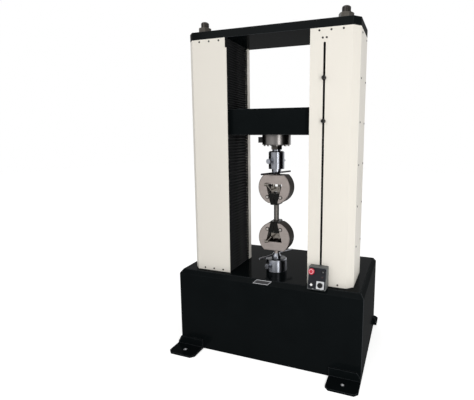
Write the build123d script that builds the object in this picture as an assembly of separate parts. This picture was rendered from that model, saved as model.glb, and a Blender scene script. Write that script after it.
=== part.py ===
from build123d import *
import math
import os

os.makedirs("parts", exist_ok=True)

# Floor-standing universal testing machine. Lengths are millimetres.
# X runs to the right, Y to the back, Z up. The origin is on the floor under the middle of the base.

# Fits and tool values used all over the machine
running = 0.05
seam = 0.3
overrun = 6
diagonal_share = math.sqrt(2)
fold_share = diagonal_share - 1
from_base = (Align.CENTER, Align.CENTER, Align.MIN)

# Base cabinet and worktop
base_width = 1220
base_depth = 710
base_height = 535
lip_rise = 26
lip_run = 18
panel_wall = 6
mitre_reach = 150
worktop_thickness = 40
worktop_corner = 30
worktop_gap = 0.6
worktop_bevel = 3
screw_passage_radius = 31
support_wall = 20
support_inset = 55
support_end_gap = 55
vent_length = 170
vent_height = 8
vent_pitch = 22
vent_rows = 6
vent_drop = 285
vent_edge_gap = 280

# Anchor brackets under the corners
foot_length = 190
foot_reach = 130
foot_flange = 12
foot_rise = 62
foot_offset = 22
foot_corner = 22
foot_cut_rise = 40
anchor_radius = 9
anchor_reach = 70

# Column housings, seen from above: each is a tall box with two cut outer corners
housing_front_gap = 59
housing_depth = 334
housing_side_gap = 74
housing_width = 274.5
housing_cut = 38
cover_sheet = 3
rear_return = 35
frame_height = 2053
top_plate_thickness = 46
slot_from_edge = 82.5
slot_width = 13
slot_foot = 115
slot_head = 75
notch_width = 10
notch_height = 58

# Load frame inside the housings
guide_radius = 25
guide_inset = 90
guide_spacing = 192
guide_spigot = 20
guide_thread = 24
guide_end = 73
guide_end_bevel = 5
nut_across_flats = 75
nut_height = 30
nut_bevel = 3
washer_radius = 46
washer_height = 6
screw_inset = 136
screw_radius = 25
journal_radius = 20
bearing_radius = 56
bearing_height = 45
bearing_lip = 10
bearing_neck_radius = 44

# Drive under the worktop
pulley_radius = 75
pulley_height = 40
pulley_flange = 3
pulley_drop = 55
belt_thickness = 5
belt_height = 30
motor_behind = 229
motor_pulley_radius = 42
motor_shaft_radius = 12
mount_plate_width = 290
mount_plate_depth = 240
mount_plate_thickness = 12
mount_post_radius = 14
mount_post_x = 120
mount_post_y = 90
mount_gap = 28
reducer_width = 140
reducer_height = 110
motor_width = 130
motor_floor_gap = 42
motor_corner = 14
shaft_depth = 45

# Crosshead
crosshead_height = 157
crosshead_depth = 258
crosshead_end_gap = 31
end_block_gap = 48.5
end_block_extra = 8
bush_outer = 35
bush_flange = 37
bush_flange_height = 8
nut_body_radius = 45
nut_flange_radius = 58
nut_flange_height = 18
nut_body_height = 110

# Folding covers between the crosshead and the frame
pleat_depth = 16
pleat_sheet = 5
lower_pleat_pitch = 20
upper_pleat_pitch = 15
pleat_offset = 3
pleat_front_gap = 4
pleat_rear_gap = 1

# Load cell and upper adapter
cell_radius = 92
cell_height = 64
cell_hub_radius = 42
cell_web_radius = 62
cell_web_depth = 18
cell_hub_drop = 5
cell_bevel = 3
connector_width = 28
connector_depth = 34
connector_height = 37
connector_barrel_radius = 9
connector_barrel = 16
lock_nut_across_flats = 64
lock_nut_height = 24
stud_radius = 20
stud_engagement = 34
adapter_neck_radius = 28
adapter_neck_height = 10
adapter_radius = 51.5
adapter_height = 114
adapter_bevel = 7
pin_radius = 8
pin_angle = 17.5
pin_half_length = 86
pin_collar_radius = 12
pin_collar_gap = 0.6
pin_head_radius = 16
pin_head_height = 14
pin_from_adapter = 51

# Wedge grips
grip_radius = 108
grip_thickness = 100
grip_flat = 83
grip_throat = 101
grip_bevel = 4
grip_distance = 333
wedge_angle = 14
window_top = 24
throat_half_width = 24.7
pocket_depth = 6
pocket_half_thickness = 38
pocket_rise = 12
shank_radius = 17
shank_length = 117
shank_end_gap = 7
jaw_top = -36
jaw_overhang = 11
jaw_gap = 6
jaw_face_recess = 4
jaw_tooth = 1.2
jaw_tooth_pitch = 12
bar_radius = 17
bar_in_upper_jaw = 29
bar_in_lower_jaw = 70
pusher_half_width = 31
pusher_half_depth = 18
pusher_height = 40
pusher_arch_half_width = 13
pusher_arch_height = 10
guide_pin_radius = 10.5
guide_pin_x = 20
guide_pin_length = 38
guide_bore_wall = 8
hook_pin_radius = 7
hook_pin_x = 14.6
hook_pin_drop = 15
hook_pin_length = 4
release_arm_radius = 4.5
release_arm_gap = 13
release_arm_run = 30
release_arm_rise = 32
release_knob_radius = 11
release_knob_tip_radius = 6
release_knob_length = 24
ring_radius = 31
ring_height = 17
ring_cone_height = 18
ring_cone_radius = 21
tommy_radius = 6
tommy_length = 150
upper_tommy_angle = 72
lower_tommy_angle = 64
ring_gap = 2
lower_ring_gap = 28

# Lower adapter on the worktop
lower_adapter_radius = 69
lower_adapter_height = 79
lower_adapter_bevel = 4
lower_pin_drop = 34
lower_stud_depth = 30

# Limit rod and its stops
limit_rod_radius = 5
limit_rod_inset = 16
dog_width = 22
dog_depth = 20
dog_height = 24
dog_upper_share = 0.526
dog_lower_rise = 74
dog_shank_radius = 4
dog_knob_radius = 13
dog_knob_tip_radius = 9
dog_knob_length = 23
dog_knob_gap = 3
sensor_radius = 6
sensor_gap = 2
sensor_length = 43
sensor_bracket_width = 20
sensor_bracket_height = 26
sensor_from_top = 60

# Control box with its sloping face
box_width = 110
box_from_edge = 77
box_height = 126
box_top_depth = 42
box_bottom_depth = 80
box_corner = 3
collar_height = 4
estop_radius = 19
estop_height = 11
estop_edge = 3
estop_travel = 5
estop_collar_radius = 15
estop_shaft_radius = 8
estop_x = -34.5
estop_up = 38
white_radius = 9.5
white_x = -30.5
white_up = -38
black_radius = 7.5
black_x = 34.5
black_up = 40
button_bezel = 3
button_height = 7
button_travel = 3
button_depth = 20
switch_width = 46
switch_height = 44
switch_plate = 3
switch_x = 21.5
switch_up = -36
knob_radius = 15
knob_height = 9
knob_grip_width = 9
knob_grip_height = 9
knob_shaft_radius = 4
knob_shaft_depth = 15

# Power inlet on the back
inlet_edge_gap = 180
inlet_z = 120
inlet_flange = 64
inlet_flange_thickness = 5
inlet_radius = 24
inlet_wall = 4
inlet_length = 34
inlet_pin_radius = 3
inlet_pin_circle = 11
inlet_pin_count = 3

# Places in plan worked out from the sizes above
housing_front = housing_front_gap - base_depth / 2
housing_rear = housing_front + housing_depth
housing_outer = base_width / 2 - housing_side_gap
housing_inner = housing_outer - housing_width
load_y = housing_front + housing_depth / 2
motor_y = load_y + motor_behind
guide_x = housing_outer - guide_inset
screw_x = housing_outer - screw_inset
slot_x = housing_inner + slot_from_edge
box_x = housing_inner + box_from_edge
crosshead_half_width = housing_outer - crosshead_end_gap
end_block_inner = housing_inner + end_block_gap

# Levels worked out from the sizes above, from the worktop up through the load train
worktop_bottom = base_height - worktop_thickness
pulley_top = worktop_bottom - pulley_drop
pulley_bottom = pulley_top - pulley_height
motor_top = pulley_bottom - mount_gap - mount_plate_thickness - reducer_height
lower_adapter_top = base_height + lower_adapter_height
lower_grip_flat = lower_adapter_top + ring_height + ring_cone_height + lower_ring_gap
grip_lower_z = lower_grip_flat + grip_flat
grip_upper_z = grip_lower_z + grip_distance
adapter_bottom = grip_upper_z + grip_flat + ring_gap + ring_height + ring_cone_height
adapter_top = adapter_bottom + adapter_height
lock_nut_top = adapter_top + adapter_neck_height + lock_nut_height
cell_bottom = lock_nut_top + cell_hub_drop
crosshead_bottom = cell_bottom + cell_height
crosshead_top = crosshead_bottom + crosshead_height
plate_bottom = frame_height - top_plate_thickness
slot_bottom = base_height + slot_foot
slot_top = plate_bottom - slot_head
sensor_z = crosshead_top - sensor_from_top
dog_lower_z = crosshead_bottom + dog_lower_rise
dog_upper_z = sensor_z + dog_upper_share * (slot_top - sensor_z)
wedge_slope = math.tan(math.radians(wedge_angle))
wedge_play = seam / math.cos(math.radians(wedge_angle))
jaw_bottom = -grip_throat - jaw_overhang
rod_y = housing_front + limit_rod_inset
box_lean = math.atan2(box_bottom_depth - box_top_depth, box_height)


def block(x0, x1, y0, y1, z0, z1):
    """Box between two opposite corners."""
    middle = Pos((x0 + x1) / 2, (y0 + y1) / 2, (z0 + z1) / 2)
    return middle * Box(x1 - x0, y1 - y0, z1 - z0)


def drum(radius, z0, z1, x=0, y=0):
    """Upright cylinder between two levels."""
    return Pos(x, y, (z0 + z1) / 2) * Cylinder(radius, z1 - z0)


def prism(points, z0, z1):
    """Outline in plan, raised between two levels."""
    outline = make_face(Polyline(*[(x, y, 0) for x, y in points], close=True))
    return Pos(0, 0, z0) * extrude(outline, amount=z1 - z0, dir=(0, 0, 1))


def forward(x, y, z):
    """Plane that faces the front, with its normal along -Y."""
    return Plane(origin=(x, y, z), z_dir=(0, -1, 0))


def slab(points, y0, y1):
    """Outline in the front view, carried from one depth to another."""
    outline = make_face(Polyline(*[(x, 0, z) for x, z in points], close=True))
    return Pos(0, y0, 0) * extrude(outline, amount=y1 - y0, dir=(0, 1, 0))


def turned(points, x=0, y=0):
    """Half section of radius and height, turned about an upright axis."""
    section = make_face(Polyline(*[(r, 0, z) for r, z in points], close=True))
    return Pos(x, y, 0) * revolve(section, axis=Axis.Z)


def hexagon(across_flats, z0, z1):
    """Hexagonal prism between two levels."""
    outline = RegularPolygon(across_flats / 2, 6, major_radius=False)
    return Pos(0, 0, z0) * extrude(outline, amount=z1 - z0)


def flip(shape):
    """Copy on the other side of the machine."""
    return mirror(shape, about=Plane.YZ)


def save(name, *shapes):
    """Write one node, as one solid or as a group of separate solids."""
    solids = [solid for shape in shapes for solid in shape.solids()]
    body = solids[0] if len(solids) == 1 else Compound(children=solids)
    body.label = name
    export_step(body, os.path.join("parts", name + ".step"))


def column_places():
    """Centres of the guide columns in plan."""
    return [(x, load_y + y) for x in (-guide_x, guide_x) for y in (-guide_spacing / 2, guide_spacing / 2)]


def cabinet_form(inset, corner):
    """Cabinet outline with its sloping top edge, drawn in by an inset."""
    width = base_width - 2 * inset
    depth = base_depth - 2 * inset
    knee = base_height - lip_rise - inset
    low = RectangleRounded(width, depth, corner) if corner else Rectangle(width, depth)
    top_width = width - 2 * lip_run
    top_depth = depth - 2 * lip_run
    high = RectangleRounded(top_width, top_depth, corner) if corner else Rectangle(top_width, top_depth)
    wall = extrude(low, amount=knee)
    slope = loft([(Pos(0, 0, knee) * low).face(), (Pos(0, 0, base_height) * high).face()], ruled=True)
    return wall + slope


def cabinet_panels():
    """Four welded panels of the cabinet, mitred at the corners."""
    inner = cabinet_form(panel_wall, worktop_corner)
    through = Pos(0, 0, -overrun) * extrude(
        RectangleRounded(base_width - 2 * panel_wall, base_depth - 2 * panel_wall, worktop_corner), amount=2 * overrun
    )
    shell = cabinet_form(0, 0) - inner - through
    x, y = base_width / 2, base_depth / 2
    front = [(-x, -y), (x, -y), (x - mitre_reach, mitre_reach - y), (mitre_reach - x, mitre_reach - y)]
    side = [(x, -y), (x, y), (x - mitre_reach, y - mitre_reach), (x - mitre_reach, mitre_reach - y)]
    front_panel = shell & prism(front, 0, base_height)
    side_panel = shell & prism(side, 0, base_height)
    rear_panel = mirror(front_panel, about=Plane.XZ)
    return front_panel, side_panel, rear_panel


def vents():
    """Rows of ventilation slots through the rear panel."""
    cut = []
    vent_x = base_width / 2 - vent_edge_gap
    for side in (-vent_x, vent_x):
        for row in range(vent_rows):
            z = base_height - vent_drop + (row - (vent_rows - 1) / 2) * vent_pitch
            slot = Plane.XZ * SlotOverall(vent_length, vent_height)
            tool = extrude(slot, amount=overrun + panel_wall, both=True)
            cut.append(Pos(side, base_depth / 2, z) * tool)
    return cut


def worktop():
    """Thick load-bearing plate that closes the cabinet and carries the columns."""
    rim = 2 * (panel_wall + lip_run + worktop_gap)
    outline = RectangleRounded(base_width - rim, base_depth - rim, worktop_corner)
    plate = Pos(0, 0, worktop_bottom) * extrude(outline, amount=worktop_thickness)
    plate = chamfer(plate.edges().group_by(Axis.Z)[-1], worktop_bevel)
    for x, y in column_places():
        plate -= drum(guide_spigot + running, worktop_bottom - overrun, base_height + overrun, x, y)
    for x in (-screw_x, screw_x):
        plate -= drum(screw_passage_radius, worktop_bottom - overrun, base_height + overrun, x, load_y)
    return plate - drum(stud_radius + running, base_height - lower_stud_depth, base_height + overrun, 0, load_y)


def foot(x_middle, turn):
    """Angle bracket that anchors a corner of the base to the floor."""
    low, high = x_middle - foot_length / 2, x_middle + foot_length / 2
    face, tip = -base_depth / 2, -base_depth / 2 - foot_reach
    plan = [(low, face), (low, tip + foot_corner), (low + foot_corner, tip)]
    plan += [(high - foot_corner, tip), (high, tip + foot_corner), (high, face)]
    flange = prism(plan, 0, foot_flange) - drum(anchor_radius, -overrun, foot_flange + overrun, x_middle, face - anchor_reach)
    cut_in = foot_offset
    upright = [(low, 0), (high, 0), (high, foot_rise), (low + cut_in, foot_rise)]
    upright += [(low, foot_rise - foot_cut_rise)]
    bracket = flange + slab(upright, face - foot_flange, face)
    return Rot(0, 0, turn) * bracket


def covers():
    """Folded sheets round the right-hand column: the front one and the rear one."""
    i, w, c, t = housing_inner, housing_outer, housing_cut, cover_sheet
    f, r = housing_front, housing_rear
    bottom, top = base_height + seam, plate_bottom - seam
    fold = fold_share * t
    front = [(i, f), (w - c, f), (w, f + c), (w - diagonal_share * t, f + c), (w - c - fold, f + t), (i, f + t)]
    rear = [(w, f + c + seam), (w, r - c), (w - c, r), (i, r), (i, r - rear_return), (i + t, r - rear_return)]
    rear += [(i + t, r - t), (w - c - fold, r - t), (w - t, r - c - fold), (w - t, f + c + seam)]
    return prism(front, bottom, top), prism(rear, bottom, top)


def limit_slot():
    """Long round-ended slot that lets the stop knobs through."""
    height = slot_top - slot_bottom
    outline = Plane.XZ * Rot(0, 0, 90) * SlotOverall(height, slot_width)
    tool = extrude(outline, amount=overrun, both=True)
    return Pos(slot_x, housing_front, (slot_top + slot_bottom) / 2) * tool


def notch():
    """Small step at the top inner corner of the left front cover."""
    edge = -housing_inner
    return block(
        edge - notch_width, edge + overrun, housing_front - overrun, housing_front + overrun,
        plate_bottom - notch_height, plate_bottom + overrun,
    )


def guide_column(x, y):
    """Ground steel column with a spigot below and a threaded end above."""
    end = frame_height + guide_end
    half = [(0, worktop_bottom), (guide_spigot, worktop_bottom), (guide_spigot, base_height)]
    half += [(guide_radius, base_height), (guide_radius, plate_bottom), (guide_thread, plate_bottom)]
    half += [(guide_thread, end - guide_end_bevel), (guide_thread - guide_end_bevel, end), (0, end)]
    return turned(half, x, y)


def column_nut():
    """Hexagon nut with turned corners, and the washer under it."""
    low = frame_height + washer_height + seam
    high = low + nut_height
    corner = nut_across_flats / math.sqrt(3)
    trim = [(0, low), (corner, low), (corner, high - nut_bevel), (corner - 2 * nut_bevel, high), (0, high)]
    nut = hexagon(nut_across_flats, low, high) & turned(trim)
    bore = drum(guide_thread + running, frame_height - overrun, high + overrun)
    washer = drum(washer_radius, frame_height, low - seam)
    return nut - bore, washer - bore


def top_plate():
    """Thick plate that ties the columns together, with its four corners cut."""
    w, c, f, r = housing_outer, housing_cut, housing_front, housing_rear
    right = [(w - c, f), (w, f + c), (w, r - c), (w - c, r)]
    left = [(-x, y) for x, y in reversed(right)]
    plate = prism(right + left, plate_bottom, frame_height)
    for x, y in column_places():
        plate -= drum(guide_thread + running, plate_bottom - overrun, frame_height + overrun, x, y)
    return plate


def bearing(x, seat, way):
    """Flanged bearing housing on a seat, reaching up or down from it."""
    half = [(journal_radius + running, seat), (bearing_radius, seat), (bearing_radius, seat + way * bearing_lip)]
    half += [(bearing_neck_radius, seat + way * bearing_lip), (bearing_neck_radius, seat + way * bearing_height)]
    half += [(journal_radius + running, seat + way * bearing_height)]
    return turned(half, x, load_y)


def ball_screw(x):
    """Long screw with a turned journal at each end."""
    low = worktop_bottom + seam
    high = plate_bottom - bearing_height - seam
    half = [(0, pulley_bottom), (journal_radius, pulley_bottom), (journal_radius, low), (screw_radius, low)]
    half += [(screw_radius, high), (journal_radius, high), (journal_radius, plate_bottom - seam), (0, plate_bottom - seam)]
    return turned(half, x, load_y)


def pulley_section(radius, bore):
    """Half section of a belt pulley with a flange at each end."""
    low, high, lip = pulley_bottom, pulley_top, pulley_flange
    section = [(bore, low), (radius + lip, low), (radius + lip, low + lip), (radius, low + lip)]
    return section + [(radius, high - lip), (radius + lip, high - lip), (radius + lip, high), (bore, high)]


def motor_pulley():
    """Driving pulley made in one with the output shaft."""
    shaft_low = pulley_bottom - mount_gap - mount_plate_thickness - shaft_depth
    wheel = turned(pulley_section(motor_pulley_radius, motor_shaft_radius / 2), 0, motor_y)
    return wheel + drum(motor_shaft_radius, shaft_low, pulley_top, 0, motor_y)


def timing_belt():
    """Closed belt round the two screw pulleys and the motor pulley."""
    middle = (pulley_top + pulley_bottom) / 2
    rounds = [(-screw_x, load_y, pulley_radius), (screw_x, load_y, pulley_radius), (0, motor_y, motor_pulley_radius)]
    loops = []
    for extra in (seam + belt_thickness, seam):
        circles = [Pos(x, y, 0) * Circle(radius + extra) for x, y, radius in rounds]
        edges = ShapeList([edge for circle in circles for edge in circle.edges()])
        loops.append(extrude(make_hull(edges), amount=belt_height / 2, both=True))
    return Pos(0, 0, middle) * (loops[0] - loops[1])


def gear_reducer():
    """Square reducer whose flange plate hangs from the worktop on four posts."""
    high = pulley_bottom - mount_gap
    low = high - mount_plate_thickness
    half_x, half_y = mount_plate_width / 2, mount_plate_depth / 2
    plate = block(-half_x, half_x, motor_y - half_y, motor_y + half_y, low, high)
    for x in (-mount_post_x, mount_post_x):
        for y in (-mount_post_y, mount_post_y):
            plate += drum(mount_post_radius, high, worktop_bottom, x, motor_y + y)
    half = reducer_width / 2
    case = block(-half, half, motor_y - half, motor_y + half, motor_top, low)
    plate += fillet(case.edges().filter_by(Axis.Z), motor_corner)
    return plate - drum(motor_shaft_radius + running, low - shaft_depth - seam, high + overrun, 0, motor_y)


def servo_motor():
    """Motor body with a smaller encoder cap at its lower end."""
    half, cap = motor_width / 2, motor_width / 2 - motor_corner
    middle = motor_floor_gap + 2 * motor_corner
    body = block(-half, half, motor_y - half, motor_y + half, middle, motor_top)
    body = fillet(body.edges().filter_by(Axis.Z), motor_corner)
    return body + block(-cap, cap, motor_y - cap, motor_y + cap, motor_floor_gap, middle)


def crosshead():
    """Moving beam with an end block for each pair of guide columns."""
    half, w = crosshead_depth / 2, crosshead_half_width
    beam = block(-w, w, load_y - half, load_y + half, crosshead_bottom, crosshead_top)
    deep = half + end_block_extra
    end = block(end_block_inner, w, load_y - deep, load_y + deep, crosshead_bottom, crosshead_top)
    beam = beam + end + flip(end)
    low, high = crosshead_bottom - overrun, crosshead_top + overrun
    for x, y in column_places():
        beam -= drum(bush_outer, low, high, x, y)
    for x in (-screw_x, screw_x):
        beam -= drum(nut_body_radius, low, high, x, load_y)
    return beam


def guide_bush(x, y):
    """Flanged sleeve that slides on a guide column."""
    low, bottom = crosshead_bottom - bush_flange_height, crosshead_bottom
    half = [(guide_radius + running, low), (bush_flange, low), (bush_flange, bottom), (bush_outer - running, bottom)]
    half += [(bush_outer - running, crosshead_top), (guide_radius + running, crosshead_top)]
    return turned(half, x, y)


def ball_nut(x):
    """Flanged nut that runs on a ball screw."""
    low, high = crosshead_bottom - nut_flange_height, crosshead_bottom + nut_body_height
    bore, body = screw_radius + running, nut_body_radius - running
    half = [(bore, low), (nut_flange_radius, low), (nut_flange_radius, crosshead_bottom), (body, crosshead_bottom)]
    return turned(half + [(body, high), (bore, high)], x, load_y)


def bellows(bottom, top, pitch):
    """Pleated screen that folds as the crosshead travels, on the right-hand side."""
    count = round((top - bottom) / pitch)
    step = (top - bottom) / count / 2
    near = housing_inner + pleat_offset
    outer, inner = [], []
    for index in range(2 * count + 1):
        x = near + (pleat_depth if index % 2 else 0)
        outer.append((x, bottom + index * step))
        inner.append((x + pleat_sheet, bottom + index * step))
    front = housing_front + cover_sheet + pleat_front_gap
    rear = housing_rear - rear_return - pleat_rear_gap
    return slab(outer + inner[::-1], front, rear)


def load_cell():
    """Pancake load cell with a thin web between its rim and its hub."""
    low, hub, web = cell_bottom, cell_bottom - cell_hub_drop, cell_bottom + cell_web_depth
    rim = cell_radius - cell_bevel
    half = [(0, crosshead_bottom), (cell_radius, crosshead_bottom), (cell_radius, low + cell_bevel), (rim, low)]
    half += [(cell_web_radius, low), (cell_web_radius, web), (cell_hub_radius, web), (cell_hub_radius, hub), (0, hub)]
    body = turned(half, 0, load_y)
    return body - drum(stud_radius + running, hub - overrun, lock_nut_top + stud_engagement + seam, 0, load_y)


def cell_connector():
    """Cable connector on the side of the load cell."""
    middle = cell_bottom + cell_height / 2
    inner = -cell_radius - seam
    half_y, half_z = connector_depth / 2, connector_height / 2
    case = block(inner - connector_width, inner, load_y - half_y, load_y + half_y, middle - half_z, middle + half_z)
    barrel = Pos(inner - connector_width / 2, load_y + half_y, middle) * Rot(90, 0, 0)
    return case + barrel * Cylinder(connector_barrel_radius, 2 * connector_barrel)


def adapter_nut():
    """Hexagon lock nut between the load cell and the adapter."""
    low = lock_nut_top - lock_nut_height
    nut = hexagon(lock_nut_across_flats, low, lock_nut_top)
    return Pos(0, load_y, 0) * (nut - drum(stud_radius + running, low - overrun, lock_nut_top + overrun))


def pin_tool(z, radius, start, stop):
    """Cylinder along the cross pin's axis at a given level."""
    turn = math.radians(pin_angle)
    direction = (-math.sin(turn), -math.cos(turn), 0)
    plane = Plane(origin=(0, load_y, z), z_dir=direction)
    return plane * Pos(0, 0, (start + stop) / 2) * Cylinder(radius, stop - start)


def cross_pin(z, adapter):
    """Pin with a collar and a round head that locks a grip into its adapter."""
    collar = adapter + pin_collar_gap
    head = pin_half_length - pin_head_height + adapter - adapter_radius
    pin = pin_tool(z, pin_radius, -pin_half_length, head)
    pin += pin_tool(z, pin_collar_radius, collar, head)
    return pin + pin_tool(z, pin_head_radius, head, head + pin_head_height)


def upper_adapter():
    """Coupling with a stud above and a socket for the grip's shank below."""
    neck, top, low = adapter_top + adapter_neck_height, adapter_top, adapter_bottom
    stud = lock_nut_top + stud_engagement
    half = [(0, low), (adapter_radius, low), (adapter_radius, top - adapter_bevel)]
    half += [(adapter_radius - adapter_bevel, top), (adapter_neck_radius, top), (adapter_neck_radius, neck)]
    half += [(stud_radius, neck), (stud_radius, stud), (0, stud)]
    body = turned(half, 0, load_y)
    socket_top = grip_upper_z + grip_flat + shank_length + seam
    body -= drum(shank_radius + running, low - overrun, socket_top, 0, load_y)
    return body - pin_tool(low + pin_from_adapter, pin_radius + running, -cell_radius, cell_radius)


def lower_adapter():
    """Socket bolted to the worktop for the lower grip."""
    top, low = lower_adapter_top, base_height
    half = [(0, low - lower_stud_depth), (stud_radius, low - lower_stud_depth), (stud_radius, low)]
    half += [(lower_adapter_radius, low), (lower_adapter_radius, top - lower_adapter_bevel)]
    half += [(lower_adapter_radius - lower_adapter_bevel, top), (0, top)]
    socket_low = lower_grip_flat - shank_length - shank_end_gap
    body = turned(half, 0, load_y) - drum(shank_radius + running, socket_low, top + overrun, 0, load_y)
    return body - pin_tool(top - lower_pin_drop, pin_radius + running, -cell_radius, cell_radius)


def lock_ring(seat, way, angle):
    """Coned lock nut with two tommy bars, which tightens a grip against its adapter."""
    cone, tip = seat - way * ring_height, seat - way * (ring_height + ring_cone_height)
    bore = shank_radius + running
    half = [(bore, seat), (ring_radius, seat), (ring_radius, cone), (ring_cone_radius, tip), (bore, tip)]
    ring = turned(half, 0, load_y)
    level, root = (cone + tip) / 2, bore + tommy_radius
    for side in (0, 180):
        bar = Rot(0, 0, angle + side) * Pos((root + tommy_length) / 2, 0, 0) * Rot(0, 90, 0)
        ring += Pos(0, load_y, level) * bar * Cylinder(tommy_radius, tommy_length - root)
    return ring


def wedge_width(z, extra):
    """Half width of the tapered window at a level measured from the grip's middle."""
    return throat_half_width + (z + grip_throat) * wedge_slope + extra


def grip_body():
    """Round grip head with a flat at each end and a tapered window, drawn with its shank upwards."""
    disc = Rot(90, 0, 0) * Cylinder(grip_radius, grip_thickness)
    disc &= block(-grip_radius, grip_radius, -grip_thickness, grip_thickness, -grip_throat, grip_flat)
    rims = disc.edges().filter_by(lambda edge: abs(edge.center().Y) > pocket_half_thickness)
    disc = chamfer(rims, grip_bevel)
    low, pocket_top = -grip_throat - overrun, window_top + pocket_rise
    cuts = [(0, grip_thickness / 2 + overrun, window_top), (pocket_depth, pocket_half_thickness, pocket_top)]
    for extra, half, top in cuts:
        narrow, wide = wedge_width(low, extra), wedge_width(top, extra)
        disc -= slab([(-narrow, low), (narrow, low), (wide, top), (-wide, top)], -half, half)
    for x in (-guide_pin_x, guide_pin_x):
        disc -= drum(guide_pin_radius + running, window_top, grip_flat - guide_bore_wall, x)
    return disc + drum(shank_radius, grip_flat - grip_bevel, grip_flat + shank_length)


def jaw():
    """Right-hand wedge jaw with guide wings, a groove for round bars and coarse teeth."""
    half = grip_thickness / 2 - jaw_face_recess
    wing = pocket_half_thickness - seam
    body = None
    for extra, depth in ((-wedge_play, half), (pocket_depth - wedge_play, wing)):
        low, high = wedge_width(jaw_bottom, extra), wedge_width(jaw_top, extra)
        part = slab([(jaw_gap / 2, jaw_bottom), (low, jaw_bottom), (high, jaw_top), (jaw_gap / 2, jaw_top)], -depth, depth)
        body = part if body is None else body + part
    body -= drum(bar_radius + seam, jaw_bottom - overrun, jaw_top + overrun)
    rows = int((jaw_top - jaw_bottom) / jaw_tooth_pitch)
    for row in range(rows):
        z = jaw_bottom + (row + 1) * jaw_tooth_pitch - jaw_tooth_pitch / 2
        body -= drum(bar_radius + seam + jaw_tooth, z - jaw_tooth, z + jaw_tooth)
    return body


def pusher():
    """Arched block on two guide pins that drives both jaws, with the arm that frees them."""
    bottom = jaw_top + seam
    top = bottom + pusher_height
    x, y = pusher_half_width, pusher_half_depth
    body = block(-x, x, -y, y, bottom, top)
    arch = pusher_arch_half_width
    body -= block(-arch, arch, -y - overrun, y + overrun, bottom - overrun, bottom + pusher_arch_height)
    level = top - hook_pin_drop
    for side in (-1, 1):
        body += drum(guide_pin_radius, top, top + guide_pin_length, side * guide_pin_x)
        body += forward(side * hook_pin_x, -y, level) * Cylinder(hook_pin_radius, hook_pin_length, align=from_base)
    arm_y = -grip_thickness / 2 - release_arm_gap
    reach = -y - arm_y + release_arm_radius
    body += forward(-hook_pin_x, -y, level) * Cylinder(release_arm_radius, reach, align=from_base)
    start = Vector(-hook_pin_x, arm_y, level)
    run = Vector(-release_arm_run, 0, release_arm_rise)
    body += Plane(origin=start, z_dir=run) * Cylinder(release_arm_radius, run.length, align=from_base)
    knob = Cone(release_knob_radius, release_knob_tip_radius, release_knob_length)
    return body + Plane(origin=start + run, z_dir=(1, 0, 0)) * knob


def place_upper(shape):
    """Set a grip piece at the upper grip."""
    return Pos(0, load_y, grip_upper_z) * shape


def place_lower(shape):
    """Set a grip piece at the lower grip, turned upside down."""
    return Pos(0, load_y, grip_lower_z) * mirror(shape, about=Plane.XY)


def test_bar():
    """Round bar held between the jaws."""
    low = grip_lower_z - jaw_bottom - bar_in_lower_jaw
    return drum(bar_radius, low, grip_upper_z + jaw_bottom + bar_in_upper_jaw, 0, load_y)


def stop_dog(z):
    """Stop collar on the limit rod with its clamping knob in front of the cover."""
    half_x, half_y, half_z = dog_width / 2, dog_depth / 2, dog_height / 2
    collar = block(slot_x - half_x, slot_x + half_x, rod_y - half_y, rod_y + half_y, z - half_z, z + half_z)
    collar -= drum(limit_rod_radius + running, z - half_z - overrun, z + half_z + overrun, slot_x, rod_y)
    face = housing_front - dog_knob_gap
    front = forward(slot_x, face, z)
    reach = rod_y - half_y - face
    shank = front * Pos(0, 0, -reach / 2) * Cylinder(dog_shank_radius, reach)
    knob = front * Cone(dog_knob_radius, dog_knob_tip_radius, dog_knob_length, align=from_base)
    return collar + shank + knob


def limit_sensor():
    """Proximity sensor on the crosshead's end block, which faces the stops."""
    z = sensor_z
    face = load_y - crosshead_depth / 2 - end_block_extra
    tip = slot_x + dog_width / 2 + sensor_gap
    bracket_x = tip + sensor_length - sensor_bracket_width
    half = sensor_bracket_height / 2
    bracket = block(bracket_x, tip + sensor_length, rod_y - sensor_radius, face, z - half, z + half)
    barrel = Pos(tip + sensor_length / 2, rod_y, z) * Rot(0, 90, 0) * Cylinder(sensor_radius, sensor_length)
    return bracket + barrel


def panel_plane(x=0, up=0, out=0):
    """Plane on the sloping face of the control box, with its normal outwards."""
    y = housing_front - seam - (box_top_depth + box_bottom_depth) / 2
    z = base_height + seam + box_height / 2
    normal = (0, -math.cos(box_lean), math.sin(box_lean))
    face = Plane(origin=(box_x, y, z), x_dir=(1, 0, 0), z_dir=normal)
    return face * Pos(x, up, out)


def panel_drum(radius, x, up, out0, out1):
    """Cylinder square to the sloping face, between two heights above it."""
    return panel_plane(x, up, (out0 + out1) / 2) * Cylinder(radius, out1 - out0)


def control_box():
    """Sloping control box with raised collars and bores for its buttons."""
    low, back = base_height + seam, housing_front - seam
    high = low + box_height
    profile = [(back, low), (back - box_bottom_depth, low), (back - box_top_depth, high), (back, high)]
    outline = make_face(Polyline(*[(0, y, z) for y, z in profile], close=True))
    body = Pos(box_x - box_width / 2, 0, 0) * extrude(outline, amount=box_width, dir=(1, 0, 0))
    body = fillet(body.edges().filter_by(lambda edge: edge.center().Y < back - box_corner), box_corner)
    body += panel_drum(estop_collar_radius, estop_x, estop_up, -collar_height, collar_height)
    body += panel_drum(white_radius + button_bezel, white_x, white_up, -collar_height, collar_height)
    body += panel_drum(black_radius + button_bezel, black_x, black_up, -collar_height, collar_height)
    body -= panel_drum(estop_shaft_radius + seam, estop_x, estop_up, -button_depth, overrun)
    body -= panel_drum(white_radius + seam, white_x, white_up, -button_depth, overrun)
    body -= panel_drum(black_radius + seam, black_x, black_up, -button_depth, overrun)
    return body - panel_drum(knob_shaft_radius + running, switch_x, switch_up, -knob_shaft_depth - seam, overrun)


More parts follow.
